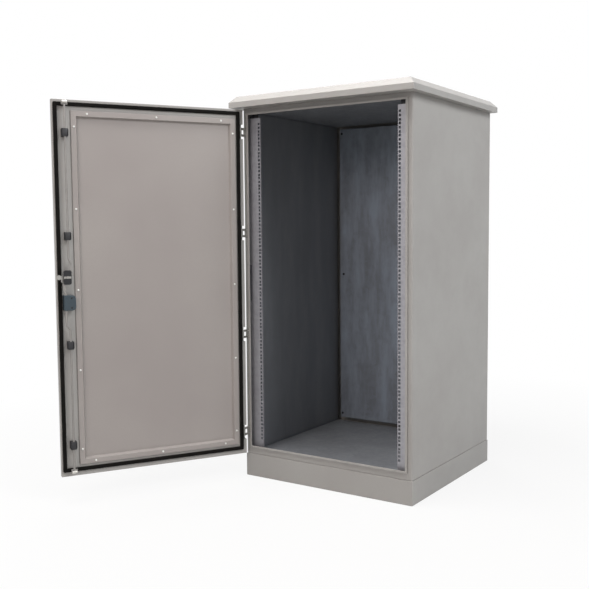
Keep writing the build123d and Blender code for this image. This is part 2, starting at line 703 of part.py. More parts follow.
def hinge_screw(x, z):
    """Low pan screw of the post leaf, head to the front."""
    screw = pan_head(0, 0, 0, HINGE_HEAD_R, HINGE_HEAD_H, M4_R, HINGE_LEAF_T + SHEET + 3)
    return Pos(x, FRONT - HINGE_LEAF_T, z) * Rot(0, 0, 180) * screw


def make_hinges():
    save("hinge_frame_leaves", *[frame_leaf(z) for z in HINGE_ZS])
    save("hinge_pins", *[bar_z(PIN_X, PIN_Y, HINGE_PIN_R, z - HINGE_LEN / 2 - 1, z + HINGE_LEN / 2 + 1)
                         for z in HINGE_ZS])
    save("hinge_screws", *[hinge_screw(x, z) for x, z in hinge_screw_places()])
    save_door("hinge_door_leaves", *[door_leaf(z) for z in HINGE_ZS])


# Door

def liner_screw_places():
    """Centres of the sixteen screws round the liner's rim."""
    mid_x = (LINER_X0 + LINER_X1) / 2
    mid_z = (LINER_Z0 + LINER_Z1) / 2
    pitch_x = mid_x - LINER_X0 - LINER_SCREW_FIRST_X
    pitch_z = (mid_z - LINER_Z0 - LINER_SCREW_FIRST_Z) / 2
    places = []
    for step in (-2, -1, 0, 1, 2):
        places.append((LINER_X0 + LINER_SCREW_IN, mid_z + step * pitch_z))
        places.append((LINER_X1 - LINER_SCREW_IN, mid_z + step * pitch_z))
    for step in (-1, 0, 1):
        places.append((mid_x + step * pitch_x, LINER_Z0 + LINER_SCREW_IN_END))
        places.append((mid_x + step * pitch_x, LINER_Z1 - LINER_SCREW_IN_END))
    return places


def door_skin():
    """Door pan: outer sheet, returns and the inner rim that carries seal, liner and lock."""
    pan = block(DOOR_X0, DOOR_X1, DOOR_OUT, DOOR_IN, DOOR_Z0, DOOR_Z1)
    pan = fillet(pan.edges().filter_by(Axis.Z), EDGE_R)
    pan -= block(DOOR_X0 + SHEET, DOOR_X1 - SHEET, DOOR_OUT + SHEET, DOOR_IN - SHEET,
                 DOOR_Z0 + SHEET, DOOR_Z1 - SHEET)
    rim = LINER_RIM - WINDOW_BACK
    pan -= block(LINER_X0 + rim, LINER_X1 - rim, DOOR_IN - SHEET - 1, DOOR_IN + 1,
                 LINER_Z0 + rim, LINER_Z1 - rim)
    for z in HINGE_ZS:
        pan -= block(DOOR_X0 - 1, DOOR_X0 + HINGE_NOTCH_W, PIN_Y - HINGE_NOTCH_BACK, DOOR_IN + 1,
                     z - HINGE_NOTCH_H / 2, z + HINGE_NOTCH_H / 2)
    for x, z in liner_screw_places():
        pan -= bar_y(x, z, M4_R + SCREW_FREE, DOOR_IN - SHEET - 1, DOOR_IN + 1)
    pan -= bar_y(HUB_X, HUB_Z, HUB_BOSS_R + 1, DOOR_OUT - 1, DOOR_OUT + SHEET + 1)
    pan -= bar_y(HUB_X, HUB_Z, SPINDLE_R + 1, DOOR_IN - SHEET - 1, DOOR_IN + 1)
    pan -= bar_y(HUB_X, CYLINDER_Z, CYLINDER_R + SCREW_FREE, DOOR_OUT - 1, DOOR_IN + 1)
    return pan


def liner_recess(y_top):
    """The recessed field of the liner as a solid with sloped sides."""
    x0 = LINER_X0 + LINER_RIM
    x1 = LINER_X1 - LINER_RIM
    z0 = LINER_Z0 + LINER_RIM
    z1 = LINER_Z1 - LINER_RIM
    mid = Pos((x0 + x1) / 2, (z0 + z1) / 2)
    wide = Plane.XZ * mid * Rectangle(x1 - x0, z1 - z0)
    deep = Plane.XZ * mid * Rectangle(x1 - x0 - 2 * LINER_SLOPE, z1 - z0 - 2 * LINER_SLOPE)
    return Pos(0, y_top, 0) * loft([wide.face(), (Pos(0, -LINER_RECESS, 0) * deep).face()])


def door_liner():
    """Inner door panel: rim standing on its folded edge and screwed to the pan, field pressed back."""
    liner = block(LINER_X0, LINER_X1, DOOR_IN, LINER_TOP, LINER_Z0, LINER_Z1)
    liner = fillet(liner.faces().sort_by(Axis.Y)[-1].edges(), LINER_SHEET)
    liner -= block(LINER_X0 + LINER_SHEET, LINER_X1 - LINER_SHEET, DOOR_IN - 1, LINER_TOP - LINER_SHEET,
                   LINER_Z0 + LINER_SHEET, LINER_Z1 - LINER_SHEET)
    liner += liner_recess(LINER_TOP - LINER_SHEET)
    liner -= liner_recess(LINER_TOP)
    for x, z in liner_screw_places():
        liner -= bar_y(x, z, M4_R + SCREW_FREE, DOOR_IN - 1, LINER_TOP + 1)
    return liner


def door_gasket():
    """Sealing strip round the opening, rounded on its crown."""
    mid_z = (SEAL_Z0 + SEAL_Z1) / 2
    width = 2 * SEAL_X
    height = SEAL_Z1 - SEAL_Z0
    outer = RectangleRounded(width + 2 * GASKET_W, height + 2 * GASKET_W, GASKET_CORNER_OUT_R)
    inner = RectangleRounded(width, height, GASKET_CORNER_R)
    strip = prism_y(Pos(0, mid_z) * (outer - inner), DOOR_IN, DOOR_IN + GASKET_H)
    crown = strip.faces().sort_by(Axis.Y)[-1].edges()
    return fillet(crown, GASKET_ROUND)


def make_door():
    save_door("door_skin", door_skin())
    save_door("door_liner", door_liner())
    save_door("door_gasket", door_gasket())
    save_door("liner_screws", *[pan_head(x, z, LINER_TOP, M4_HEAD_R, M4_HEAD_H, M4_R, LINER_SCREW_LEN)
                                for x, z in liner_screw_places()])


# Lock mechanism on the inside of the door

def lock_rod(sign, joggle, shift):
    """One lock rod: fork for the roller, straight bar, joggle, flat end with its slot.

    The sign is +1 for the rod that goes up and -1 for the one that goes down. The shift moves
    the bar next to the flat end towards the hub, past the lock box.
    """
    roller_z = OPEN_Z1 + ROLLER_BEYOND_TOP if sign > 0 else OPEN_Z0 - ROLLER_BEYOND_BOTTOM
    end_x = HUB_X - sign * CRANK_SIDE
    slot_z = HUB_Z + sign * CRANK_SIDE
    slot_x = HUB_X - sign * (CRANK_SIDE + CRANK_R) / 2
    base_z = roller_z - sign * (ROLLER_R + ROLLER_BASE_GAP)
    flat_z = HUB_Z + sign * ROD_FLAT_REACH
    turns = [(ROD_X, base_z - sign * FORK_BASE_T / 2), (ROD_X, HUB_Z + sign * joggle[1]),
             (end_x + sign * shift, HUB_Z + sign * joggle[0])]
    if shift:
        turns.append((end_x + sign * shift, HUB_Z + sign * JOGGLE_SHORT[1]))
        turns.append((end_x, HUB_Z + sign * JOGGLE_SHORT[0]))
        flat_z -= sign * FLAT_LAP
    turns.append((end_x, flat_z))
    path = FilletPolyline(*[(x, ROD_Y, z) for x, z in turns], radius=ROD_BEND_R)
    rod = sweep(Plane(path @ 0, z_dir=path % 0) * Circle(ROD_R), path=path)
    half_slot = CRANK_PIN_R + SLOT_FREE
    travel = CRANK_R - CRANK_SIDE
    eye_half = half_slot + SLOT_WALL
    eye = Pos(slot_x, slot_z) * RectangleRounded(travel + 2 * eye_half, 2 * eye_half, SLOT_WALL)
    strip_h = abs(flat_z - slot_z) + FLAT_LAP
    strip = Pos(end_x, slot_z + sign * strip_h / 2) * Rectangle(FLAT_W, strip_h)
    slot = Pos(slot_x, slot_z) * SlotOverall(travel + 2 * half_slot, 2 * half_slot)
    rod += prism_y(eye + strip, ROD_Y - FLAT_T / 2, ROD_Y + FLAT_T / 2)
    rod -= prism_y(slot, ROD_Y - FLAT_T, ROD_Y + FLAT_T)
    return rod + roller_fork(roller_z, base_z, sign)


def roller_fork(roller_z, base_z, sign):
    """Fork on the end of a rod: a base and two cheeks rounded about the roller's pin."""
    inner = ROLLER_W / 2 + ROLLER_SIDE_GAP
    outer = inner + FORK_CHEEK_T
    fork = block(ROD_X - outer, ROD_X + outer, ROD_Y - FORK_CHEEK_R, ROD_Y + FORK_CHEEK_R,
                 base_z, base_z - sign * FORK_BASE_T)
    for side in (-1, 1):
        x0 = ROD_X + side * inner
        x1 = ROD_X + side * outer
        fork += block(x0, x1, ROD_Y - FORK_CHEEK_R, ROD_Y + FORK_CHEEK_R, base_z, roller_z)
        fork += bar_x(ROD_Y, roller_z, FORK_CHEEK_R, x0, x1)
    return fork - bar_x(ROD_Y, roller_z, ROLLER_PIN_R, ROD_X - outer - 1, ROD_X + outer + 1)


def roller_parts(roller_z):
    """Roller and the pin it turns on."""
    half = ROLLER_W / 2
    reach = half + ROLLER_SIDE_GAP + FORK_CHEEK_T
    roller = bar_x(ROD_Y, roller_z, ROLLER_R, ROD_X - half, ROD_X + half)
    roller = chamfer(roller.edges().filter_by(GeomType.CIRCLE), ROLLER_CHAMFER)
    roller -= bar_x(ROD_Y, roller_z, ROLLER_PIN_R + RUNNING_FIT, ROD_X - reach, ROD_X + reach)
    return roller, bar_x(ROD_Y, roller_z, ROLLER_PIN_R, ROD_X - reach, ROD_X + reach)


def rod_guide(z):
    """Guide block on the lock strip, arched over the rod."""
    top = ROD_Y + GUIDE_OVER
    guide = block(ROD_X - GUIDE_W / 2, ROD_X + GUIDE_W / 2, DOOR_IN, top, z - GUIDE_H / 2, z + GUIDE_H / 2)
    crown = guide.edges().filter_by(Axis.Z).filter_by_position(Axis.Y, top - 0.01, top + 0.01)
    guide = fillet(crown, GUIDE_ROUND)
    return guide - bar_z(ROD_X, ROD_Y, ROD_R + RUNNING_FIT, z - GUIDE_H, z + GUIDE_H)


def crank():
    """Crank plate with its two pins for the rods."""
    plate = prism_y(Pos(HUB_X, HUB_Z) * RectangleRounded(CRANK_W, CRANK_H, CRANK_CORNER),
                    CRANK_Y, CRANK_Y + CRANK_T)
    for sign in (-1, 1):
        plate += bar_y(HUB_X - sign * CRANK_SIDE, HUB_Z + sign * CRANK_SIDE, CRANK_PIN_R,
                       ROD_Y - FLAT_T / 2, CRANK_Y)
    return plate - drive_bar(CRANK_Y + CRANK_T + 1) - bar_y(HUB_X, HUB_Z, SPINDLE_R, CRANK_Y - 1, CRANK_Y + 1)


def drive_bar(top_y):
    """The flat bar across the spindle's end, let into the crank."""
    return block(HUB_X - BAR_LEN / 2, HUB_X + BAR_LEN / 2, CRANK_Y, top_y,
                 HUB_Z - BAR_W / 2, HUB_Z + BAR_W / 2)


def tongue():
    """Tongue that shoots sideways behind the post."""
    end_r = TONGUE_W / 2
    shape = Pos(HUB_X, HUB_Z) * Circle(end_r)
    shape += Pos(HUB_X + TONGUE_REACH / 2 - end_r / 2, HUB_Z) * Rectangle(TONGUE_REACH - end_r, TONGUE_NECK)
    shape += Pos(HUB_X + TONGUE_REACH - end_r, HUB_Z) * Circle(end_r)
    plate = prism_y(shape, TONGUE_Y, TONGUE_Y + TONGUE_T)
    return plate - bar_y(HUB_X, HUB_Z, SPINDLE_R, TONGUE_Y - 1, TONGUE_Y + TONGUE_T + 1)


def make_lock():
    top_z = OPEN_Z1 + ROLLER_BEYOND_TOP
    bottom_z = OPEN_Z0 - ROLLER_BEYOND_BOTTOM
    save_door("upper_rod", lock_rod(1, JOGGLE_UPPER, 0))
    save_door("lower_rod", lock_rod(-1, JOGGLE_LOWER, LOWER_ROD_SHIFT))
    upper_roller, upper_pin = roller_parts(top_z)
    lower_roller, lower_pin = roller_parts(bottom_z)
    save_door("upper_roller", upper_roller)
    save_door("upper_roller_pin", upper_pin)
    save_door("lower_roller", lower_roller)
    save_door("lower_roller_pin", lower_pin)
    save_door("rod_guides", *[rod_guide(z) for z in GUIDE_ZS])
    save_door("lock_crank", crank())
    save_door("lock_tongue", tongue())
    bearing = bar_y(HUB_X, HUB_Z, BEARING_R, DOOR_IN, TONGUE_Y - LAYER_GAP)
    save_door("spindle_bearing",
              bearing - bar_y(HUB_X, HUB_Z, SPINDLE_R + RUNNING_FIT, DOOR_IN - 1, TONGUE_Y + 1))
    nut_y = CRANK_Y + CRANK_T + BAR_PROUD
    spindle = bar_y(HUB_X, HUB_Z, SPINDLE_R, HUB_BACK + HUB_FLOOR, CRANK_Y)
    save_door("lock_spindle", spindle + drive_bar(nut_y))
    bolt = bar_y(HUB_X, HUB_Z, WASHER_R, nut_y, nut_y + WASHER_T)
    head = RegularPolygon(BOLT_AF / 2, 6, major_radius=False)
    bolt += prism_y(Pos(HUB_X, HUB_Z) * head, nut_y + WASHER_T, nut_y + WASHER_T + BOLT_H)
    save_door("spindle_bolt", bolt)


# Outside handle and lock cylinder

def handle_base():
    """Flat escutcheon on the outside of the door."""
    mid_z = HUB_Z + (BASE_ABOVE - BASE_BELOW) / 2
    shape = Pos(HUB_X, mid_z) * RectangleRounded(BASE_W, BASE_ABOVE + BASE_BELOW, BASE_CORNER)
    base = prism_y(shape, BASE_FRONT, DOOR_OUT)
    base = fillet(base.faces().sort_by(Axis.Y)[0].edges(), BASE_EDGE)
    base -= bar_y(HUB_X, HUB_Z, HUB_BOSS_R + RUNNING_FIT, BASE_FRONT - 1, DOOR_OUT + 1)
    return base - bar_y(HUB_X, CYLINDER_Z, CYLINDER_R + SCREW_FREE, BASE_FRONT - 1, DOOR_OUT + 1)


def handle_hub():
    """Turning hub: disc with a fork for the lever and a boss running in the escutcheon."""
    disc = bar_y(HUB_X, HUB_Z, HUB_R, HUB_FRONT, HUB_BACK)
    disc = fillet(disc.edges().filter_by(GeomType.CIRCLE).sort_by(Axis.Y)[0], HUB_EDGE)
    boss_end = DOOR_OUT + SHEET + HUB_BOSS_FREE
    hub = disc + bar_y(HUB_X, HUB_Z, HUB_BOSS_R, HUB_BACK, boss_end)
    hub -= block(HUB_X - FORK_HALF, HUB_X + FORK_HALF, HUB_FRONT - 1, HUB_BACK - HUB_FLOOR,
                 HUB_Z - HUB_R - 1, HUB_Z + ROOT_R + LAYER_GAP)
    hub -= bar_y(HUB_X, HUB_Z, SPINDLE_R, HUB_BACK + HUB_FLOOR, boss_end + 1)
    return hub - bar_x(LEVER_PIN_Y, HUB_Z, LEVER_PIN_R, HUB_X - HUB_R, HUB_X + HUB_R)


def lever():
    """Lever, folded down along the escutcheon, with the eye over the lock cylinder."""
    top_z = HUB_Z - LEVER_ROOT_DROP
    end_z = HUB_Z - LEVER_LEN
    shape = Pos(HUB_X, (top_z + end_z) / 2) * RectangleRounded(LEVER_W, top_z - end_z, LEVER_W / 2 - 2)
    shape += Pos(HUB_X, top_z - LEVER_W / 4) * Rectangle(LEVER_W, LEVER_W / 2)
    grip = prism_y(shape, LEVER_FRONT, LEVER_BACK)
    grip = fillet(grip.faces().sort_by(Axis.Y)[0].edges(), LEVER_EDGE)
    grip -= bar_y(HUB_X, CYLINDER_Z, LEVER_EYE_R, LEVER_FRONT - 1, LEVER_BACK + 1)
    root = block(HUB_X - LEVER_ROOT_HALF, HUB_X + LEVER_ROOT_HALF, LEVER_PIN_Y - ROOT_R,
                 LEVER_PIN_Y + ROOT_R, top_z - 2, HUB_Z)
    root += bar_x(LEVER_PIN_Y, HUB_Z, ROOT_R, HUB_X - LEVER_ROOT_HALF, HUB_X + LEVER_ROOT_HALF)
    bore = bar_x(LEVER_PIN_Y, HUB_Z, LEVER_PIN_R + RUNNING_FIT, HUB_X - HUB_R, HUB_X + HUB_R)
    return grip + root - bore


def cylinder_end():
    return DOOR_IN + CYLINDER_INTO_BOX


def lock_cylinder():
    """Fixed barrel of the key lock, through both sheets of the door."""
    barrel = bar_y(HUB_X, CYLINDER_Z, CYLINDER_R, BASE_FRONT, cylinder_end())
    return barrel - bar_y(HUB_X, CYLINDER_Z, PLUG_R + RUNNING_FIT, BASE_FRONT - 1, BASE_FRONT + PLUG_LEN)


def cylinder_plug():
    """Turning plug with its keyway."""
    plug = bar_y(HUB_X, CYLINDER_Z, PLUG_R, BASE_FRONT - PLUG_PROUD, BASE_FRONT + PLUG_LEN - 1)
    return plug - block(HUB_X - KEYWAY_W / 2, HUB_X + KEYWAY_W / 2, BASE_FRONT - 1,
                        BASE_FRONT + KEYWAY_DEPTH, CYLINDER_Z - KEYWAY_H / 2, CYLINDER_Z + KEYWAY_H / 2)


def box_screw_places():
    """Screws of the lock box: one high on the rounded side, one low near the door's edge."""
    return ((HUB_X + BOX_SCREW_HIGH[0], CYLINDER_Z + BOX_SCREW_HIGH[1]),
            (HUB_X + BOX_SCREW_LOW[0], CYLINDER_Z + BOX_SCREW_LOW[1]))


def lock_box():
    """Cover over the cylinder's inner end and the lower rod, rounded away from the door's edge."""
    x = HUB_X + LOCK_BOX_SHIFT_X
    z = CYLINDER_Z + LOCK_BOX_SHIFT_Z
    box = block(x - LOCK_BOX_W / 2, x + LOCK_BOX_W / 2, DOOR_IN, DOOR_IN + LOCK_BOX_T,
                z - LOCK_BOX_H / 2, z + LOCK_BOX_H / 2)
    box = fillet(box.edges().filter_by(Axis.Y).group_by(Axis.X)[0], LOCK_BOX_ROUND)
    box = fillet(box.edges().filter_by(Axis.Y).group_by(Axis.X)[-1], LOCK_BOX_CORNER)
    box = fillet(box.faces().sort_by(Axis.Y)[-1].edges(), LOCK_BOX_EDGE)
    half_w = LOCK_BOX_W / 2 - LOCK_BOX_WALL
    half_h = LOCK_BOX_H / 2 - LOCK_BOX_WALL
    room = block(x - half_w, x + half_w, DOOR_IN - 1, DOOR_IN + LOCK_BOX_T - LOCK_BOX_WALL,
                 z - half_h, z + half_h)
    room = fillet(room.edges().filter_by(Axis.Y).group_by(Axis.X)[0], LOCK_BOX_ROUND - LOCK_BOX_WALL)
    for screw_x, screw_z in box_screw_places():
        room -= bar_y(screw_x, screw_z, LOCK_BOX_POST_R, DOOR_IN, DOOR_IN + LOCK_BOX_T)
    box -= room
    for screw_x, screw_z in box_screw_places():
        box -= bar_y(screw_x, screw_z, M4_R + SCREW_FREE, DOOR_IN - 1, DOOR_IN + LOCK_BOX_T + 1)
    rod_x = HUB_X + CRANK_SIDE - LOWER_ROD_SHIFT
    tunnel = ROD_R + ROD_TUNNEL_FREE
    return box - block(rod_x - tunnel, rod_x + tunnel, DOOR_IN - 1, ROD_Y + tunnel,
                       z - LOCK_BOX_H, z + LOCK_BOX_H)


def make_handle():
    save_door("handle_base", handle_base())
    save_door("handle_hub", handle_hub())
    save_door("lever", lever())
    pin_half = math.sqrt(HUB_R ** 2 - LEVER_PIN_R ** 2) - LEVER_PIN_BACK
    save_door("lever_pin", bar_x(LEVER_PIN_Y, HUB_Z, LEVER_PIN_R, HUB_X - pin_half, HUB_X + pin_half))
    save_door("lock_cylinder", lock_cylinder())
    save_door("cylinder_plug", cylinder_plug())
    save_door("lock_box", lock_box())
    save_door("lock_box_screws", *[pan_head(x, z, DOOR_IN + LOCK_BOX_T, BOX_HEAD_R, BOX_HEAD_H,
                                            M4_R, LOCK_BOX_T - 1) for x, z in box_screw_places()])


os.makedirs("parts", exist_ok=True)
make_body()
make_plinth()
make_canopy()
make_interior()
make_hinges()
make_door()
make_lock()
make_handle()
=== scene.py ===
"""Looks of a roadside utility cabinet: finishes, small detail, light and camera around its CAD frame."""

import logging
import math
from dataclasses import dataclass, field
from enum import Enum
from typing import Any, Callable, Optional, Union

import bpy
from mathutils import Matrix, Vector


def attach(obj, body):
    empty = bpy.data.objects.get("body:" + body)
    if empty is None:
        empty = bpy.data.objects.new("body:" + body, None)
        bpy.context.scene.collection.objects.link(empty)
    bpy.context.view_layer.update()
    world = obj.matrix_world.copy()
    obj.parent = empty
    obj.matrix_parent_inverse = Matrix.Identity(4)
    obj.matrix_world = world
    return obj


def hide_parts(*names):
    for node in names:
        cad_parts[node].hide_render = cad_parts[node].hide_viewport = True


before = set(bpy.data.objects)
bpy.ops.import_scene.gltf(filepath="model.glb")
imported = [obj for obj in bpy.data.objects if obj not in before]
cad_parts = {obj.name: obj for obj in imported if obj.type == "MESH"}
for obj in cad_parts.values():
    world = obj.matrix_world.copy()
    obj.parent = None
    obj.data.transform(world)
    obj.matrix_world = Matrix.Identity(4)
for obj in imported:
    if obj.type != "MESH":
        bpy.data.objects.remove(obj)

logging.basicConfig(level=logging.INFO, format="%(message)s")
LOG = logging.getLogger("cabinet")
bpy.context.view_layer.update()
MM = 0.001
NEAR = 1e-6  # metres: places closer than this count as one
SQUARE_ON, NEARLY_SQUARE, QUITE_SQUARE = 0.9, 0.95, 0.99  # how much of a face's normal lies along an axis
HEX_FLAT = 0.866  # a hexagon's inner radius over its outer one
ROUNDING_STEPS = 4
DOOR_OPEN = math.radians(-119.7)
OUT_OF_DOOR = Vector((-math.sin(DOOR_OPEN), math.cos(DOOR_OPEN), 0.0))
ALONG_DOOR = Vector((math.cos(DOOR_OPEN), math.sin(DOOR_OPEN), 0.0))
ALONG_FRONT = Vector((1.0, 0.0, 0.0))
OUT_OF_FRONT = Vector((0.0, -1.0, 0.0))
UPRIGHT = Vector((0.0, 0.0, 1.0))
MIX_UNDER, MIX_OVER = 6, 7  # the colour inputs of a mix node
Feed = Union[bpy.types.Node, bpy.types.NodeSocket]
MAIN_OUTPUT: dict[str, Any] = {
    "ShaderNodeMix": 2, "ShaderNodeTexCoord": "Object", "ShaderNodeNewGeometry": "Normal",
    "ShaderNodeAmbientOcclusion": "AO", "ShaderNodeVectorMath": "Value"}


class Grain(Enum):
    """Which way a brushed or rolled surface runs."""

    ROUND = (1.0, 1.0, 1.0)
    UPRIGHT = (1.0, 1.0, 0.22)
    LEVEL = (0.3, 0.3, 1.0)


def linear(hex_code: str) -> tuple[float, float, float, float]:
    """Turn an sRGB hex colour into a linear one.

    Args:
        hex_code: Six hex digits with a leading hash.

    Returns:
        Linear red, green, blue and an alpha of 1.
    """
    parts = [int(hex_code[i:i + 2], 16) / 255 for i in (1, 3, 5)]
    out = [c / 12.92 if c <= 0.04045 else ((c + 0.055) / 1.055) ** 2.4 for c in parts]
    return (out[0], out[1], out[2], 1.0)


def per_metre(size_mm: float) -> float:
    """Texture scale on Object coordinates for a feature of the given size."""
    return 1.0 / (size_mm * MM)


def add_node(tree: bpy.types.NodeTree, kind: str, settings: Optional[dict[Any, Any]] = None,
             links: Optional[dict[Any, Feed]] = None) -> bpy.types.Node:
    """Add one shader node, set it and link it.

    Args:
        tree: The node tree.
        kind: The node's type.
        settings: Input names or numbers, or node attributes, with their values; a colour is a hex code.
        links: Input names or numbers with what feeds them: a socket, or a node for its main output.

    Returns:
        The new node.
    """
    node = tree.nodes.new(kind)
    for key, value in (settings or {}).items():
        if isinstance(value, str) and value.startswith("#"):
            value = linear(value)
        if isinstance(key, int) or key in node.inputs:
            node.inputs[key].default_value = value
        else:
            setattr(node, key, value)
    for key, feed in (links or {}).items():
        if isinstance(feed, bpy.types.Node):
            feed = feed.outputs[MAIN_OUTPUT.get(feed.bl_idname, 0)]
        tree.links.new(feed, node.inputs[key])
    return node


@dataclass(frozen=True)
class Levels:
    """Values from start to stop become values from low to high, clamped."""

    low: float = 0.0
    high: float = 1.0
    start: float = 0.3
    stop: float = 0.7

    def settings(self, shift: float = 0.0) -> dict[Any, Any]:
        """The levels as node settings, with low and high shifted."""
        return {"From Min": self.start, "From Max": self.stop,
                "To Min": self.low + shift, "To Max": self.high + shift}


@dataclass(frozen=True)
class Mottling:
    """Cloudy noise of a real size, and the levels it is drawn between."""

    size_mm: float
    levels: Levels = Levels()
    detail: float = 3.0
    roughness: float = 0.55

    def settings(self) -> dict[Any, Any]:
        """Its size and fineness as node settings."""
        return {"Scale": per_metre(self.size_mm), "Detail": self.detail, "Roughness": self.roughness}

    def add(self, tree: bpy.types.NodeTree, place: Feed, shift: float = 0.0) -> bpy.types.Node:
        """Add the noise, drawn between its levels.

        Args:
            tree: The node tree.
            place: Coordinates in metres.
            shift: What is added to both levels.

        Returns:
            The node that gives the value.
        """
        noise = add_node(tree, "ShaderNodeTexNoise", self.settings(), {"Vector": place})
        return add_node(tree, "ShaderNodeMapRange", self.levels.settings(shift), {"Value": noise})


@dataclass(frozen=True)
class Surface:
    """What a finish feeds its shader: colour, relief and, if it varies, roughness."""

    tone: Feed
    height: Feed
    gloss: Optional[Feed] = None


@dataclass(frozen=True)
class Finish:
    """A material: its name and the values that every finish shares."""

    name: str
    colour: str
    roughness: float
    metallic: float = 0.0
    specular: float = 0.5
    relief: float = 0.1
    relief_mm: float = 0.1

    def surface(self, tree: bpy.types.NodeTree, place: Feed) -> Surface:
        """Lay out the finish's patterns.

        Args:
            tree: The node tree.
            place: Object coordinates.

        Returns:
            What feeds the shader.
        """
        raise NotImplementedError

    def build(self) -> bpy.types.Material:
        """Make the material.

        Returns:
            The material.
        """
        material = bpy.data.materials.new(self.name)
        material.use_nodes = True
        tree = material.node_tree
        tree.nodes.clear()
        surface = self.surface(tree, add_node(tree, "ShaderNodeTexCoord"))
        relief = add_node(tree, "ShaderNodeBump", {"Strength": self.relief, "Distance": self.relief_mm * MM},
                          {"Height": surface.height})
        feeds: dict[Any, Feed] = {"Base Color": surface.tone, "Normal": relief}
        if surface.gloss:
            feeds["Roughness"] = surface.gloss
        shader = add_node(tree, "ShaderNodeBsdfPrincipled", {
            "Base Color": self.colour, "Roughness": self.roughness, "Metallic": self.metallic,
            "Specular IOR Level": self.specular}, feeds)
        add_node(tree, "ShaderNodeOutputMaterial", None, {"Surface": shader})
        return material


@dataclass(frozen=True)
class SheetFinish(Finish):
    """A finish of large sheets, with painted shade that darkens their corners and gaps."""

    # painted shade: its colour, how far it reaches and how strong it is
    gap_shade: str = "#5E5750"
    gap_shade_mm: float = 7.0
    gap_shade_share: float = 0.6
    gap_shade_levels: Levels = Levels(1.0, 0.0, 0.25, 0.85)

    def add_gap_shade(self, tree: bpy.types.NodeTree, tone: Feed) -> bpy.types.Node:
        """Paint shade into the corners and gaps, where ambient occlusion finds them.

        Args:
            tree: The node tree.
            tone: The colour without the painted shade.

        Returns:
            The node that gives the colour with the painted shade.
        """
        # painted shade: ambient occlusion darkens the colour in corners, gaps and seams
        occlusion = add_node(tree, "ShaderNodeAmbientOcclusion", {"samples": 6, "Distance": self.gap_shade_mm * MM})
        gap_mask = add_node(tree, "ShaderNodeMapRange", self.gap_shade_levels.settings(), {"Value": occlusion})
        painted_shade_mask = add_node(tree, "ShaderNodeMath", {"operation": "MULTIPLY", 1: self.gap_shade_share}, {0: gap_mask})
        return add_node(tree, "ShaderNodeMix", {"data_type": "RGBA", MIX_OVER: self.gap_shade},
                        {0: painted_shade_mask, MIX_UNDER: tone})


@dataclass(frozen=True)
class PowderCoat(SheetFinish):
    """Polyester powder coat baked on sheet steel: a satin skin with faint orange peel."""

    relief: float = 0.12
    relief_mm: float = 0.12
    shade: str = "#A9A29B"
    rubbed: str = "#BDBAB5"
    patches: Mottling = Mottling(420.0, detail=2.0)
    specks: Mottling = Mottling(9.0, Levels(0.0, 0.35, 0.35, 0.75), 4.0, 0.7)
    scuffs: Mottling = Mottling(35.0, Levels(0.1, 0.7, 0.4, 0.65), 4.0, 0.7)
    sheen: Mottling = Mottling(60.0, Levels(-0.05, 0.06))
    peel: Mottling = Mottling(2.6, detail=2.0)
    wear_mm: float = 2.6
    fold: Levels = Levels(1.0, 0.0, 0.78, 0.99)

    def surface(self, tree: bpy.types.NodeTree, place: Feed) -> Surface:
        """Peel breaks up highlights, patches soften large panels, folds are rubbed pale.

        Args:
            tree: The node tree.
            place: Object coordinates.

        Returns:
            What feeds the shader.
        """
        under_over = {"data_type": "RGBA", MIX_UNDER: self.colour, MIX_OVER: self.shade}
        tone = add_node(tree, "ShaderNodeMix", under_over, {0: self.patches.add(tree, place)})
        tone = add_node(tree, "ShaderNodeMix", {"data_type": "RGBA", MIX_OVER: self.shade},
                        {0: self.specks.add(tree, place), MIX_UNDER: tone})
        rounded = add_node(tree, "ShaderNodeBevel", {"samples": 4, "Radius": self.wear_mm * MM})
        flat = add_node(tree, "ShaderNodeNewGeometry")
        same = add_node(tree, "ShaderNodeVectorMath", {"operation": "DOT_PRODUCT"}, {0: rounded, 1: flat})
        edge = add_node(tree, "ShaderNodeMapRange", self.fold.settings(), {"Value": same})
        worn = add_node(tree, "ShaderNodeMath", {"operation": "MULTIPLY"},
                        {0: edge, 1: self.scuffs.add(tree, place)})
        tone = add_node(tree, "ShaderNodeMix", {"data_type": "RGBA", MIX_OVER: self.rubbed},
                        {0: worn, MIX_UNDER: tone})
        skin = add_node(tree, "ShaderNodeTexNoise", self.peel.settings(), {"Vector": place})
        # the painted shade of corners and gaps goes on last
        return Surface(self.add_gap_shade(tree, tone), skin, self.sheen.add(tree, place, self.roughness))


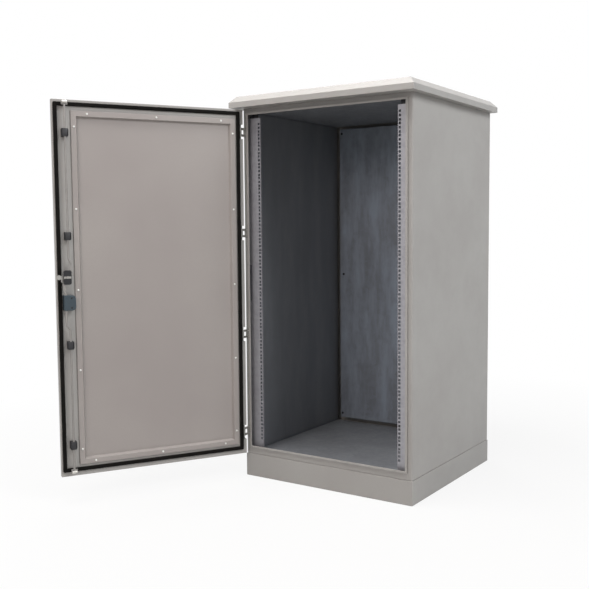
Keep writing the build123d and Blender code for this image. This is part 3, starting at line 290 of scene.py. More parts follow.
@dataclass(frozen=True)
class Galvanised(SheetFinish):
    """Hot-dip galvanised sheet steel: large zinc spangles under a dull oxide, with rolled streaks."""

    relief_mm: float = 0.5
    # painted shade in the lining's and plate's corners: darker and reaching further
    gap_shade: str = "#2C2C2E"
    gap_shade_mm: float = 20.0
    light: str = "#8C92A0"
    streaks: Mottling = Mottling(55.0, Levels(0.0, 0.5, 0.42, 0.66), 5.0, 0.62)
    spangle_mm: float = 16.0
    flakes: Levels = Levels(0.0, 0.16, 0.0, 1.0)
    spangle_gloss: Levels = Levels(-0.07, 0.09, 0.0, 1.0)
    grain: Grain = Grain.UPRIGHT

    def surface(self, tree: bpy.types.NodeTree, place: Feed) -> Surface:
        """Each spangle reflects a little differently, the streaks run with the rolling.

        Args:
            tree: The node tree.
            place: Object coordinates.

        Returns:
            What feeds the shader.
        """
        along = add_node(tree, "ShaderNodeMapping", {"Scale": self.grain.value}, {"Vector": place})
        cells = add_node(tree, "ShaderNodeTexVoronoi", {"Scale": per_metre(self.spangle_mm), "Randomness": 1.0},
                         {"Vector": place})
        facet = add_node(tree, "ShaderNodeSeparateColor", None, {"Color": cells.outputs["Color"]})
        streaks = add_node(tree, "ShaderNodeTexNoise", self.streaks.settings(), {"Vector": along})
        wisps = add_node(tree, "ShaderNodeMapRange", self.streaks.levels.settings(), {"Value": streaks})
        under_over = {"data_type": "RGBA", MIX_UNDER: self.colour, MIX_OVER: self.light}
        tone = add_node(tree, "ShaderNodeMix", under_over, {0: wisps})
        flakes = add_node(tree, "ShaderNodeMapRange", self.flakes.settings(), {"Value": facet})
        tone = add_node(tree, "ShaderNodeMix", {"data_type": "RGBA", MIX_OVER: self.light},
                        {0: flakes, MIX_UNDER: tone})
        gloss = add_node(tree, "ShaderNodeMapRange", self.spangle_gloss.settings(self.roughness),
                         {"Value": facet})
        # the painted shade of corners and gaps goes on last
        return Surface(self.add_gap_shade(tree, tone), streaks, gloss)


@dataclass(frozen=True)
class ZincPlated(Finish):
    """Bright zinc-plated steel, barrel finished: a fine directional haze with faint dull spots."""

    relief: float = 0.06
    relief_mm: float = 0.05
    dull: str = "#7E7F84"
    haze: Mottling = Mottling(3.0, Levels(-0.06, 0.12), 4.0, 0.6)
    spots: Mottling = Mottling(22.0, Levels(0.0, 0.55, 0.45, 0.72))
    grain: Grain = Grain.ROUND

    def surface(self, tree: bpy.types.NodeTree, place: Feed) -> Surface:
        """The haze softens its reflections, the spots are where it has dulled.

        Args:
            tree: The node tree.
            place: Object coordinates.

        Returns:
            What feeds the shader.
        """
        along = add_node(tree, "ShaderNodeMapping", {"Scale": self.grain.value}, {"Vector": place})
        haze = add_node(tree, "ShaderNodeTexNoise", self.haze.settings(), {"Vector": along})
        under_over = {"data_type": "RGBA", MIX_UNDER: self.colour, MIX_OVER: self.dull}
        tone = add_node(tree, "ShaderNodeMix", under_over, {0: self.spots.add(tree, place)})
        gloss = add_node(tree, "ShaderNodeMapRange", self.haze.levels.settings(self.roughness), {"Value": haze})
        return Surface(tone, haze, gloss)


@dataclass(frozen=True)
class Moulded(Finish):
    """Injection-moulded plastic, spark-eroded mould: a fine leathery texture with worn, glossier patches."""

    relief: float = 0.25
    relief_mm: float = 0.06
    worn: str = "#3A3A3C"
    rub: Mottling = Mottling(14.0, Levels(0.0, 0.4, 0.48, 0.75), 4.0)
    rub_gloss: Levels = Levels(0.0, -0.14, 0.0, 0.4)
    texture: Mottling = Mottling(0.9, detail=2.0)

    def surface(self, tree: bpy.types.NodeTree, place: Feed) -> Surface:
        """The texture greys the highlight as it does on the real moulding.

        Args:
            tree: The node tree.
            place: Object coordinates.

        Returns:
            What feeds the shader.
        """
        rub = self.rub.add(tree, place)
        gloss = add_node(tree, "ShaderNodeMapRange", self.rub_gloss.settings(self.roughness), {"Value": rub})
        leather = add_node(tree, "ShaderNodeTexNoise", self.texture.settings(), {"Vector": place})
        under_over = {"data_type": "RGBA", MIX_UNDER: self.colour, MIX_OVER: self.worn}
        tone = add_node(tree, "ShaderNodeMix", under_over, {0: rub})
        return Surface(tone, leather, gloss)


@dataclass(frozen=True)
class FoamSeal(Finish):
    """Black foamed polyurethane seal, poured in place: a matte skin with small pits."""

    specular: float = 0.12
    relief: float = 0.3
    relief_mm: float = 0.15
    skin: str = "#171513"
    skinned: Mottling = Mottling(30.0, Levels(0.0, 0.8))
    pit_mm: float = 1.6
    pit: Levels = Levels(0.0, 1.0, 0.05, 0.5)

    def surface(self, tree: bpy.types.NodeTree, place: Feed) -> Surface:
        """The pits catch no light, the skin a faint sheen.

        Args:
            tree: The node tree.
            place: Object coordinates.

        Returns:
            What feeds the shader.
        """
        pits = add_node(tree, "ShaderNodeTexVoronoi", {"Scale": per_metre(self.pit_mm)}, {"Vector": place})
        bowl = add_node(tree, "ShaderNodeMapRange", self.pit.settings(), {"Value": pits.outputs["Distance"]})
        under_over = {"data_type": "RGBA", MIX_UNDER: self.colour, MIX_OVER: self.skin}
        tone = add_node(tree, "ShaderNodeMix", under_over, {0: self.skinned.add(tree, place)})
        return Surface(tone, bowl)


@dataclass(frozen=True)
class Cylinder(Finish):
    """Nickel-plated brass lock cylinder, turned: fine rings and a yellowish edge where the plating has worn."""

    relief: float = 0.08
    relief_mm: float = 0.03
    brass: str = "#A8905A"
    wear: Mottling = Mottling(5.0, Levels(0.0, 0.8, 0.55, 0.75), 4.0)
    rings: Mottling = Mottling(0.8, detail=2.0)

    def surface(self, tree: bpy.types.NodeTree, place: Feed) -> Surface:
        """The rings draw its highlight out, the brass shows in specks.

        Args:
            tree: The node tree.
            place: Object coordinates.

        Returns:
            What feeds the shader.
        """
        turned = add_node(tree, "ShaderNodeMapping", {"Scale": Grain.LEVEL.value}, {"Vector": place})
        rings = add_node(tree, "ShaderNodeTexNoise", self.rings.settings(), {"Vector": turned})
        under_over = {"data_type": "RGBA", MIX_UNDER: self.colour, MIX_OVER: self.brass}
        tone = add_node(tree, "ShaderNodeMix", under_over, {0: self.wear.add(tree, place)})
        return Surface(tone, rings)


@dataclass
class Palette:
    """The cabinet's finishes, each built once."""

    paint: bpy.types.Material = field(init=False)
    liner_paint: bpy.types.Material = field(init=False)
    lining: bpy.types.Material = field(init=False)
    plate: bpy.types.Material = field(init=False)
    rail: bpy.types.Material = field(init=False)
    zinc: bpy.types.Material = field(init=False)
    rod: bpy.types.Material = field(init=False)
    screw: bpy.types.Material = field(init=False)
    black_steel: bpy.types.Material = field(init=False)
    black_plastic: bpy.types.Material = field(init=False)
    lock_plastic: bpy.types.Material = field(init=False)
    roller: bpy.types.Material = field(init=False)
    seal: bpy.types.Material = field(init=False)
    cylinder: bpy.types.Material = field(init=False)

    def __post_init__(self) -> None:
        """Build every finish."""
        self.paint = PowderCoat("powder_coated_steel", "#9F9D9A", 0.44, shade="#979491").build()
        self.liner_paint = PowderCoat("powder_coated_inner_panel", "#9B9591", 0.36, shade="#938C89").build()
        self.lining = Galvanised(
            "galvanised_lining", "#7A7C80", 0.5, 0.3, light="#96999E",
            streaks=Mottling(120.0, Levels(0.0, 0.35, 0.42, 0.66), 5.0, 0.62)).build()
        self.plate = Galvanised(
            "galvanised_mounting_plate", "#7B7F86", 0.46, 0.3, light="#9DA8B7", spangle_mm=20.0,
            flakes=Levels(0.0, 0.2, 0.0, 1.0),
            streaks=Mottling(60.0, Levels(0.0, 0.6, 0.42, 0.66), 5.0, 0.62)).build()
        self.rail = ZincPlated("zinc_plated_rail", "#9C9BA0", 0.42, 0.5,
                               dull="#89888D", grain=Grain.UPRIGHT).build()
        self.zinc = ZincPlated("zinc_plated_fixing", "#A3A19D", 0.36, 0.6, dull="#85837F").build()
        self.rod = ZincPlated("zinc_plated_rod", "#8F8C89", 0.46, 0.3,
                              dull="#7E7B78", grain=Grain.UPRIGHT).build()
        # screws: zinc with its colour raised near white, a painted glint on their heads
        self.screw = ZincPlated("zinc_screw_with_painted_glint", "#E6E6E3", 0.3, 0.45, dull="#C4C4C0").build()
        self.black_steel = Moulded("black_passivated_steel", "#1F1F22", 0.45, 0.3).build()
        self.black_plastic = Moulded("black_moulded_nylon", "#1C1C1F", 0.5).build()
        self.lock_plastic = Moulded("blue_grey_moulded_abs", "#2F3C44", 0.45, worn="#3E4C54").build()
        self.roller = Moulded("white_acetal_roller", "#CFCDC7", 0.4, worn="#BFBCB4").build()
        self.seal = FoamSeal("black_foamed_seal", "#0C0B0A", 0.9).build()
        self.cylinder = Cylinder("nickel_plated_brass", "#B9B4A6", 0.3, 0.9).build()


def dress(node: str, material: bpy.types.Material) -> None:
    """Give a CAD node one material and report it.

    Args:
        node: The node's name.
        material: The material for all its faces.
    """
    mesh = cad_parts[node].data
    mesh.materials.clear()
    mesh.materials.append(material)
    LOG.info("%s: %s", node, material.name)


class Part(Enum):
    """What of a mesh is picked."""

    EDGE = (False, True, False)
    FACE = (False, False, True)


def pick(piece: bpy.types.Object, part: Part, test: Callable[[Vector, Vector], bool]) -> None:
    """Select faces or edges of a piece by place and leave it in edit mode.

    Args:
        piece: The piece, the active object.
        part: Faces or edges.
        test: Takes a face's middle and normal, or an edge's two ends.
    """
    bpy.ops.object.mode_set(mode="OBJECT")
    bpy.context.tool_settings.mesh_select_mode = part.value
    mesh = piece.data
    for group in (mesh.vertices, mesh.edges, mesh.polygons):
        for item in group:
            item.select = False
    if part is Part.FACE:
        for face in mesh.polygons:
            face.select = test(face.center, face.normal)
    else:
        for edge in mesh.edges:
            first, second = (mesh.vertices[index].co for index in edge.vertices)
            edge.select = test(first, second)
    bpy.ops.object.mode_set(mode="EDIT")


def fresh() -> None:
    """Leave nothing selected before a new piece is started."""
    if bpy.context.mode != "OBJECT":
        bpy.ops.object.mode_set(mode="OBJECT")
    bpy.ops.object.select_all(action="DESELECT")


def only(piece: bpy.types.Object) -> None:
    """Select one piece alone and make it active.

    Args:
        piece: The piece.
    """
    fresh()
    piece.select_set(True)
    bpy.context.view_layer.objects.active = piece


def primitive(operator: Callable[..., Any], **settings: Any) -> bpy.types.Object:
    """Start a piece at its size and place, with both in its mesh.

    Args:
        operator: The operator that adds it.
        settings: What the operator takes.

    Returns:
        The piece, the active object.
    """
    fresh()
    operator(**settings)
    bpy.ops.object.transform_apply(location=True, rotation=True, scale=True)
    return bpy.context.object


def faces_down(middle: Vector, normal: Vector) -> bool:
    """Whether a face looks down."""
    return normal.z < -SQUARE_ON


def looks_along(axis: int, share: float) -> Callable[[Vector, Vector], bool]:
    """Make the test for faces that look along an axis, either way.

    Args:
        axis: 0, 1 or 2.
        share: How much of the normal has to lie along it.

    Returns:
        The test.
    """
    return lambda middle, normal: abs(normal[axis]) > share


class Meeting(Enum):
    """What is kept where two pieces meet."""

    REST = "DIFFERENCE"
    COMMON = "INTERSECT"


def cut(piece: bpy.types.Object, cutter: bpy.types.Object, keep: Meeting = Meeting.REST) -> None:
    """Cut one piece with another.

    Args:
        piece: The piece that is cut.
        cutter: The piece it is cut with, which is then removed.
        keep: What is kept of the first.
    """
    only(piece)
    change = piece.modifiers.new("cut", "BOOLEAN")
    change.operation = keep.value
    change.solver = "EXACT"
    change.object = cutter
    bpy.ops.object.modifier_apply(modifier=change.name)
    bpy.data.objects.remove(cutter, do_unlink=True)


def settle(piece: bpy.types.Object, foot: Vector, axis: Vector, side: Vector) -> None:
    """Turn a piece modelled along Z at the origin to its place, and put the place in its mesh.

    Args:
        piece: The piece.
        foot: Where its origin goes.
        axis: Where its Z goes.
        side: Where its X goes, square to the axis.
    """
    turn = Matrix((side, axis.cross(side), axis)).transposed().to_4x4()
    only(piece)
    piece.matrix_world = Matrix.Translation(foot) @ turn
    bpy.ops.object.transform_apply(location=True, rotation=True, scale=True)


def finish_piece(piece: bpy.types.Object, name: str, material: bpy.types.Material,
                 smooth_deg: float = 35.0) -> None:
    """Name a modelled piece, shade it and give it its one material.

    Args:
        piece: The piece.
        name: Its name.
        material: Its material.
        smooth_deg: Edges flatter than this are shaded smooth.
    """
    only(piece)
    piece.name = name
    bpy.ops.object.shade_smooth_by_angle(angle=math.radians(smooth_deg))
    piece.data.materials.clear()
    piece.data.materials.append(material)


@dataclass(frozen=True)
class Spot:
    """Where one small solid of a CAD node sits: the low end of its axis and its length."""

    foot: Vector
    length: float


def spots(node: str, axis: Vector, side: Vector, reach_mm: float) -> list[Spot]:
    """Find the separate small solids of a CAD node.

    Args:
        node: The node.
        axis: The direction their heads face.
        side: A direction square to it.
        reach_mm: More than one solid's size, and less than the space between two.

    Returns:
        A spot for each solid.
    """
    groups: list[list[Vector]] = []
    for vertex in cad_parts[node].data.vertices:
        home = next((g for g in groups if (g[0] - vertex.co).length < reach_mm * MM), None)
        if home is None:
            groups.append([vertex.co.copy()])
        else:
            home.append(vertex.co.copy())
    other = axis.cross(side)
    found = []
    for group in groups:
        spans = [(min(p.dot(d) for p in group), max(p.dot(d) for p in group)) for d in (axis, side, other)]
        foot = spans[0][0] * axis + sum(spans[1]) / 2 * side + sum(spans[2]) / 2 * other
        found.append(Spot(foot, spans[0][1] - spans[0][0]))
    return sorted(found, key=lambda spot: (round(spot.foot.z, 3), spot.foot.x))


@dataclass(frozen=True)
class Copies:
    """Small pieces of one kind that stand for a CAD node, one for each of its solids."""

    node: str
    body: str
    finish_slot: str
    axis: Vector
    side: Vector
    reach_mm: float

    def set_out(self, model: Callable[[float], bpy.types.Object], material: bpy.types.Material) -> None:
        """Model the piece once, set a copy at each spot and report them.

        Args:
            model: Models the piece for a given length, along Z with its foot at the origin.
            material: Its material.
        """
        places = spots(self.node, self.axis, self.side, self.reach_mm)
        first = model(places[0].length)
        for number, spot in enumerate(places, 1):
            piece = first
            if number < len(places):
                piece = first.copy()
                piece.data = first.data.copy()
                bpy.context.scene.collection.objects.link(piece)
            settle(piece, spot.foot, self.axis, self.side)
            finish_piece(piece, f"{self.node}_{number:02d}", material)
            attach(piece, self.body)
            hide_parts(self.node)
        LOG.info("%s: %d modelled, %s", self.node, len(places), material.name)


@dataclass(frozen=True)
class CrossHead:
    """Pan-head machine screw with a cross recess; the shares are of its head and shank."""

    head_r: float
    head_h: float
    shank_r: float
    sides: int = 28
    crown: float = 0.55
    tip: float = 0.25
    wing_long: float = 1.05
    wing_wide: float = 0.26
    recess_deep: float = 1.1
    recess_foot: float = 0.6

    def model(self, length: float) -> bpy.types.Object:
        """Model the screw from its point up.

        Args:
            length: From point to crown, in metres.

        Returns:
            The screw.
        """
        seat = length - self.head_h * MM
        head_r, head_h, shank_r = self.head_r * MM, self.head_h * MM, self.shank_r * MM
        screw = primitive(bpy.ops.mesh.primitive_cylinder_add, vertices=self.sides, radius=head_r, depth=head_h,
                          location=(0.0, 0.0, seat + head_h / 2))
        pick(screw, Part.EDGE, lambda a, b: min(a.z, b.z) > length - NEAR)
        bpy.ops.mesh.bevel(offset=head_h * self.crown, segments=ROUNDING_STEPS, profile=0.5, affect="EDGES")
        pick(screw, Part.FACE, faces_down)
        bpy.ops.mesh.inset(thickness=head_r - shank_r)
        bpy.ops.mesh.extrude_region_move(TRANSFORM_OT_translate={"value": (0.0, 0.0, -seat)})
        bpy.ops.mesh.inset(thickness=shank_r * self.tip)
        long, wide = head_r * self.wing_long, head_r * self.wing_wide
        for along, across in ((long, wide), (wide, long)):
            wing = primitive(bpy.ops.mesh.primitive_cube_add, size=1.0, location=(0.0, 0.0, length),
                             scale=(along, across, head_h * self.recess_deep))
            pick(wing, Part.FACE, faces_down)
            bpy.ops.transform.resize(value=(self.recess_foot, self.recess_foot, 1.0))
            cut(screw, wing)
        return screw


@dataclass(frozen=True)
class HexHead:
    """Hexagon-head bolt with its corners turned off by a cone; the shares are of the corner radius."""

    corner_r: float
    head_h: float
    shank_r: float
    cone_sides: int = 36
    cone_foot: float = 1.12
    cone_top: float = 0.8

    def model(self, length: float) -> bpy.types.Object:
        """Model the bolt from its point up.

        Args:
            length: From point to crown, in metres.

        Returns:
            The bolt.
        """
        corner_r, head_h, shank_r = self.corner_r * MM, self.head_h * MM, self.shank_r * MM
        seat = length - head_h
        middle = (0.0, 0.0, seat + head_h / 2)
        bolt = primitive(bpy.ops.mesh.primitive_cylinder_add, vertices=6, radius=corner_r, depth=head_h,
                         location=middle)
        turned = primitive(bpy.ops.mesh.primitive_cone_add, vertices=self.cone_sides,
                           radius1=corner_r * self.cone_foot + head_h, radius2=corner_r * self.cone_top,
                           depth=head_h, location=middle)
        cut(bolt, turned, Meeting.COMMON)
        pick(bolt, Part.FACE, faces_down)
        bpy.ops.mesh.inset(thickness=corner_r * HEX_FLAT - shank_r)
        bpy.ops.mesh.extrude_region_move(TRANSFORM_OT_translate={"value": (0.0, 0.0, -seat)})
        return bolt


@dataclass(frozen=True)
class RoundPin:
    """Turned pin with rounded ends."""

    radius: float
    rounding: float
    sides: int = 28

    def model(self, length: float) -> bpy.types.Object:
        """Model the pin.

        Args:
            length: Its length, in metres.

        Returns:
            The pin.
        """
        pin = primitive(bpy.ops.mesh.primitive_cylinder_add, vertices=self.sides, radius=self.radius * MM,
                        depth=length, location=(0.0, 0.0, length / 2))
        pick(pin, Part.EDGE, lambda a, b: abs(a.z - b.z) < NEAR)
        bpy.ops.mesh.bevel(offset=self.rounding * MM, segments=ROUNDING_STEPS, profile=0.5, affect="EDGES")
        return pin


@dataclass(frozen=True)
class BoredRoller:
    """Moulded roller with a bore, softened rims and a recess round the bore at each end."""

    radius: float
    bore_r: float
    rim: float
    sides: int = 40
    recess_in: float = 0.5
    recess_deep: float = 0.4

    def model(self, length: float) -> bpy.types.Object:
        """Model the roller from two tubes bridged at their ends.

        Args:
            length: Its width, in metres.

        Returns:
            The roller.
        """
        roller, bore = (
            primitive(bpy.ops.mesh.primitive_cylinder_add, vertices=self.sides, radius=radius * MM,
                      depth=length, end_fill_type="NOTHING", location=(0.0, 0.0, length / 2))
            for radius in (self.radius, self.bore_r))
        only(roller)
        bore.select_set(True)
        bpy.ops.object.join()
        for end in (0.0, length):
            pick(roller, Part.EDGE, lambda a, b: end - NEAR < min(a.z, b.z) and max(a.z, b.z) < end + NEAR)
            bpy.ops.mesh.bridge_edge_loops()
        bpy.ops.mesh.select_all(action="SELECT")
        bpy.ops.mesh.normals_make_consistent(inside=False)
        outer = self.radius * MM - 10 * NEAR
        pick(roller, Part.EDGE, lambda a, b: abs(a.z - b.z) < NEAR and Vector(a[:2]).length > outer
             and Vector(b[:2]).length > outer)
        bpy.ops.mesh.bevel(offset=self.rim * MM, segments=ROUNDING_STEPS, profile=0.5, affect="EDGES")
        pick(roller, Part.FACE, looks_along(2, NEARLY_SQUARE))
        bpy.ops.mesh.inset(thickness=self.recess_in * MM, depth=-self.recess_deep * MM)
        return roller


@dataclass(frozen=True)
class MouldedGuide:
    """Moulded rod guide: a block with a rounded back, a bore for the rod and a pocket in each flank."""

    height: float
    width: float
    rounding: float
    bore_up: float
    bore_r: float
    pocket_in: float = 3.5
    pocket_deep: float = 1.5
    soft: float = 0.5
    soft_over_deg: float = 50.0
    overshoot: float = 1.2
    bore_land: float = 0.1
    sides: int = 32

    def model(self, length: float) -> bpy.types.Object:
        """Model the guide on its foot, its bore along X.

        Args:
            length: How far it stands off the door, in metres.

        Returns:
            The guide.
        """
        height, width = self.height * MM, self.width * MM
        guide = primitive(bpy.ops.mesh.primitive_cube_add, size=1.0, location=(0.0, 0.0, length / 2),
                          scale=(height, width, length))
        pick(guide, Part.EDGE, lambda a, b: min(a.z, b.z) > length - NEAR and abs(a.y - b.y) < NEAR)
        bpy.ops.mesh.bevel(offset=self.rounding * MM, segments=2 * ROUNDING_STEPS, profile=0.5, affect="EDGES")
        pick(guide, Part.FACE, looks_along(1, QUITE_SQUARE))
        bpy.ops.mesh.inset(thickness=self.pocket_in * MM, use_individual=True)
        bpy.ops.mesh.extrude_faces_move(TRANSFORM_OT_shrink_fatten={"value": -self.pocket_deep * MM})
        bore = primitive(bpy.ops.mesh.primitive_cylinder_add, vertices=self.sides, radius=self.bore_r * MM,
                         depth=height * self.overshoot, location=(0.0, 0.0, self.bore_up * MM),
                         rotation=(0.0, math.pi / 2, 0.0))
        pick(bore, Part.FACE, looks_along(0, SQUARE_ON))
        bpy.ops.mesh.inset(thickness=self.bore_land * MM)
        cut(guide, bore)
        only(guide)
        soften = guide.modifiers.new("soft_edges", "BEVEL")
        soften.width = self.soft * MM
        soften.segments = 2
        soften.limit_method = "ANGLE"
        soften.angle_limit = math.radians(self.soft_over_deg)
        bpy.ops.object.modifier_apply(modifier=soften.name)
        return guide


@dataclass
class Shell:
    """Body, plinth and canopy of painted sheet steel."""

    painted: tuple[str, ...] = (
        "plinth_front", "plinth_rear", "plinth_left", "plinth_right", "left_side_panel", "right_side_panel",
        "rear_panel", "top_panel", "bottom_panel", "front_member_top", "front_member_bottom", "canopy")
    fixings: tuple[str, ...] = ("plinth_bolts", "canopy_bolts")

    def build(self, palette: Palette) -> None:
        """Dress the shell.

        Args:
            palette: The finishes.
        """
        for node in self.painted:
            dress(node, palette.paint)
        for node in self.fixings:
            dress(node, palette.zinc)


@dataclass
class Interior:
    """Linings, mounting plate and rails."""

    linings: tuple[str, ...] = ("left_side_liner", "right_side_liner", "ceiling_liner", "floor_liner")
    rails: tuple[str, ...] = ("rack_rail_left", "rack_rail_right")
    bolt: HexHead = HexHead(corner_r=5.6, head_h=3.5, shank_r=4.0)

    def build(self, palette: Palette) -> None:
        """Dress the interior.

        Args:
            palette: The finishes.
        """
        for node in self.linings:
            dress(node, palette.lining)
        for node in self.rails:
            dress(node, palette.rail)
        dress("mounting_plate", palette.plate)
        dress("plate_spacers", palette.zinc)
        dress("rail_brackets", palette.black_steel)
        Copies("plate_bolts", "cabinet", "black_steel", OUT_OF_FRONT, UPRIGHT, reach_mm=60.0).set_out(
            self.bolt.model, palette.black_steel)


@dataclass
class Door:
    """Door pan, inner panel, seal and hinges."""

    panel_screw: CrossHead = CrossHead(head_r=4.0, head_h=2.4, shank_r=2.0)
    hinge_screw: CrossHead = CrossHead(head_r=3.6, head_h=1.9, shank_r=2.0)
    pin: RoundPin = RoundPin(radius=2.5, rounding=1.0)

    def build(self, palette: Palette) -> None:
        """Dress the door.

        Args:
            palette: The finishes.
        """
        finishes = {
            "door_skin": palette.paint, "door_liner": palette.liner_paint, "door_gasket": palette.seal,
            "hinge_frame_leaves": palette.zinc, "hinge_door_leaves": palette.zinc}
        for node, material in finishes.items():
            dress(node, material)
        # liner screws take the near-white screw colour, a painted glint
        Copies("liner_screws", "door", "zinc_fixing", OUT_OF_DOOR, UPRIGHT, reach_mm=40.0).set_out(
            self.panel_screw.model, palette.screw)
        Copies("hinge_screws", "cabinet", "zinc_fixing", OUT_OF_FRONT, UPRIGHT, reach_mm=16.0).set_out(
            self.hinge_screw.model, palette.zinc)
        Copies("hinge_pins", "cabinet", "zinc_fixing", UPRIGHT, ALONG_FRONT, reach_mm=60.0).set_out(
            self.pin.model, palette.zinc)


@dataclass
class Lock:
    """Three-point lock, handle and key cylinder."""

    box_screw: CrossHead = CrossHead(head_r=3.4, head_h=1.8, shank_r=1.5)
    roller: BoredRoller = BoredRoller(radius=6.0, bore_r=2.55, rim=0.6)
    roller_pin: RoundPin = RoundPin(radius=2.5, rounding=0.5)
    guide: MouldedGuide = MouldedGuide(height=30.0, width=22.0, rounding=6.0, bore_up=22.2, bore_r=4.1)

    def build(self, palette: Palette) -> None:
        """Dress the lock.

        Args:
            palette: The finishes.
        """
        finishes = {
            "spindle_bearing": palette.black_plastic, "handle_base": palette.black_plastic,
            "handle_hub": palette.black_plastic, "lever": palette.black_plastic,
            "lock_cylinder": palette.cylinder, "cylinder_plug": palette.cylinder,
            "lock_box": palette.lock_plastic, "lock_spindle": palette.zinc, "lock_tongue": palette.zinc,
            "lock_crank": palette.black_steel, "spindle_bolt": palette.zinc, "lever_pin": palette.zinc,
            "upper_rod": palette.rod, "lower_rod": palette.rod}
        for node, material in finishes.items():
            dress(node, material)
        Copies("lock_box_screws", "door", "black_steel", OUT_OF_DOOR, UPRIGHT, reach_mm=33.0).set_out(
            self.box_screw.model, palette.black_steel)
        Copies("rod_guides", "door", "black_plastic", OUT_OF_DOOR, UPRIGHT, reach_mm=60.0).set_out(
            self.guide.model, palette.black_plastic)
        for end, word in (("upper", "up"), ("lower", "down")):
            Copies(f"{end}_roller", f"roller_{word}", "roller_white", ALONG_DOOR, UPRIGHT,
                   reach_mm=60.0).set_out(self.roller.model, palette.roller)
            Copies(f"{end}_roller_pin", f"rod_{word}", "zinc_fixing", ALONG_DOOR, UPRIGHT,
                   reach_mm=60.0).set_out(self.roller_pin.model, palette.zinc)


@dataclass(frozen=True)
class Softbox:
    """One square lamp: where it hangs, the point it faces, its side, power and colour."""

    name: str
    place: tuple[float, float, float]
    aim: tuple[float, float, float]
    size: float
    watts: float
    colour: str

    def hang(self) -> None:
        """Hang the lamp."""
        data = bpy.data.lights.new(self.name, "AREA")
        data.size = self.size
        data.energy = self.watts
        data.color = linear(self.colour)[:3]
        lamp = bpy.data.objects.new(self.name, data)
        lamp.location = self.place
        lamp.rotation_euler = (Vector(self.aim) - Vector(self.place)).to_track_quat("-Z", "Y").to_euler()
        bpy.context.scene.collection.objects.link(lamp)


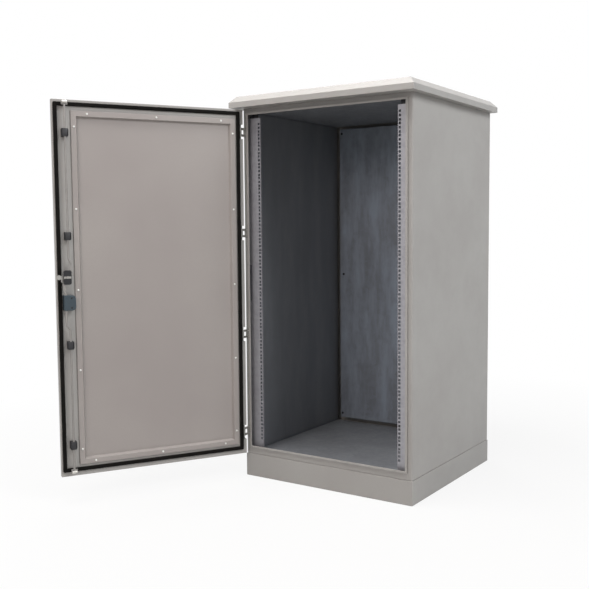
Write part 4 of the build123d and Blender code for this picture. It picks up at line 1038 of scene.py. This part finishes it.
@dataclass
class Studio:
    """Camera at the photograph's angle, pale floor and soft light."""

    eye: tuple[float, float, float] = (1.7932, -3.2279, 1.0547)
    yaw: float = -0.5958
    pitch: float = -0.0784
    roll: float = -0.0082
    focal_px: float = 851.65
    picture_px: float = 589.0
    sensor_mm: float = 36.0
    sight: float = 100.0
    floor_size: float = 60.0
    floor_drop: float = 0.0005
    floor_glow: float = 0.86
    fade_from: float = 1.0
    fade_to: float = 2.6
    world_light: float = 0.27
    white: tuple[float, float, float, float] = (1.0, 1.0, 1.0, 1.0)
    lamps: tuple[Softbox, ...] = (
        Softbox("overhead", (-0.6, -1.5, 4.5), (0.0, -0.3, 1.2), 2.4, 190.0, "#FFFDFB"),
        Softbox("right_side", (4.2, -0.6, 4.4), (0.3, 0.0, 1.2), 2.2, 190.0, "#FBFDFF"),
        Softbox("back_left", (-4.2, 3.8, 3.4), (0.0, 0.0, 0.8), 2.6, 150.0, "#FBFDFF"),
        Softbox("front", (0.3, -5.6, 3.3), (0.0, 0.0, 0.6), 2.0, 71.0, "#FFF3EE"))

    def camera(self) -> None:
        """Place the camera and make it the scene's."""
        data = bpy.data.cameras.new("photo_camera")
        data.sensor_width = self.sensor_mm
        data.lens = data.sensor_width * self.focal_px / self.picture_px
        data.clip_end = self.sight
        forward = Vector((math.sin(self.yaw) * math.cos(self.pitch), math.cos(self.yaw) * math.cos(self.pitch),
                          math.sin(self.pitch)))
        level = Vector((math.cos(self.yaw), -math.sin(self.yaw), 0.0))
        upright = level.cross(forward)
        cos, sin = math.cos(self.roll), math.sin(self.roll)
        right = cos * level + sin * upright
        up = -sin * level + cos * upright
        turn = Matrix((right, up, -forward)).transposed().to_4x4()
        camera = bpy.data.objects.new("photo_camera", data)
        camera.matrix_world = Matrix.Translation(Vector(self.eye)) @ turn
        bpy.context.scene.collection.objects.link(camera)
        bpy.context.scene.camera = camera

    def watched(self, tree: bpy.types.NodeTree) -> bpy.types.Node:
        """1 for what the camera sees directly, in metal or through glass, and 0 for light on the object.

        Args:
            tree: The node tree.

        Returns:
            The node that gives the value.
        """
        path = add_node(tree, "ShaderNodeLightPath")
        seen = add_node(tree, "ShaderNodeMath", {"operation": "MAXIMUM"},
                        {0: path.outputs["Is Camera Ray"], 1: path.outputs["Is Glossy Ray"]})
        return add_node(tree, "ShaderNodeMath", {"operation": "MAXIMUM"},
                        {0: seen, 1: path.outputs["Is Transmission Ray"]})

    def floor(self) -> None:
        """Lay the pale floor, which shows near white and keeps the object's shadow."""
        fresh()
        bpy.ops.mesh.primitive_plane_add(size=self.floor_size, location=(0.0, 0.0, -self.floor_drop))
        floor = bpy.context.object
        floor.name = "studio_floor"
        material = bpy.data.materials.new("studio_paper")
        material.use_nodes = True
        tree = material.node_tree
        tree.nodes.clear()
        paper = add_node(tree, "ShaderNodeBsdfDiffuse", {"Color": "#C9C8C6"})
        glow = add_node(tree, "ShaderNodeEmission", {"Color": self.white, "Strength": 1.0})
        away = add_node(tree, "ShaderNodeVectorMath", {"operation": "LENGTH"},
                        {0: add_node(tree, "ShaderNodeTexCoord")})
        fade = add_node(tree, "ShaderNodeMapRange",
                        Levels(self.floor_glow, 1.0, self.fade_from, self.fade_to).settings(), {"Value": away})
        seen = add_node(tree, "ShaderNodeMath", {"operation": "MULTIPLY"}, {0: self.watched(tree), 1: fade})
        mix = add_node(tree, "ShaderNodeMixShader", None, {0: seen, 1: paper, 2: glow})
        add_node(tree, "ShaderNodeOutputMaterial", None, {"Surface": mix})
        floor.data.materials.append(material)

    def world(self) -> None:
        """Give even soft light from all round, shown white to the camera."""
        world = bpy.data.worlds.new("studio_world")
        bpy.context.scene.world = world
        world.use_nodes = True
        tree = world.node_tree
        tree.nodes.clear()
        soft = add_node(tree, "ShaderNodeBackground", {"Color": "#F4F6F9", "Strength": self.world_light})
        white = add_node(tree, "ShaderNodeBackground", {"Color": self.white, "Strength": 1.0})
        mix = add_node(tree, "ShaderNodeMixShader", None, {0: self.watched(tree), 1: soft, 2: white})
        add_node(tree, "ShaderNodeOutputWorld", None, {"Surface": mix})

    def build(self) -> None:
        """Set up camera, floor, world and lamps."""
        bpy.context.scene.view_settings.view_transform = "Standard"
        self.camera()
        self.floor()
        self.world()
        for lamp in self.lamps:
            lamp.hang()


def main() -> None:
    """Build every sub-assembly in order and report each."""
    palette = Palette()
    for part in (Shell(), Interior(), Door(), Lock()):
        LOG.info("%s", type(part).__name__)
        part.build(palette)
    Studio().build()
    LOG.info("Studio")


if __name__ == "__main__":
    main()
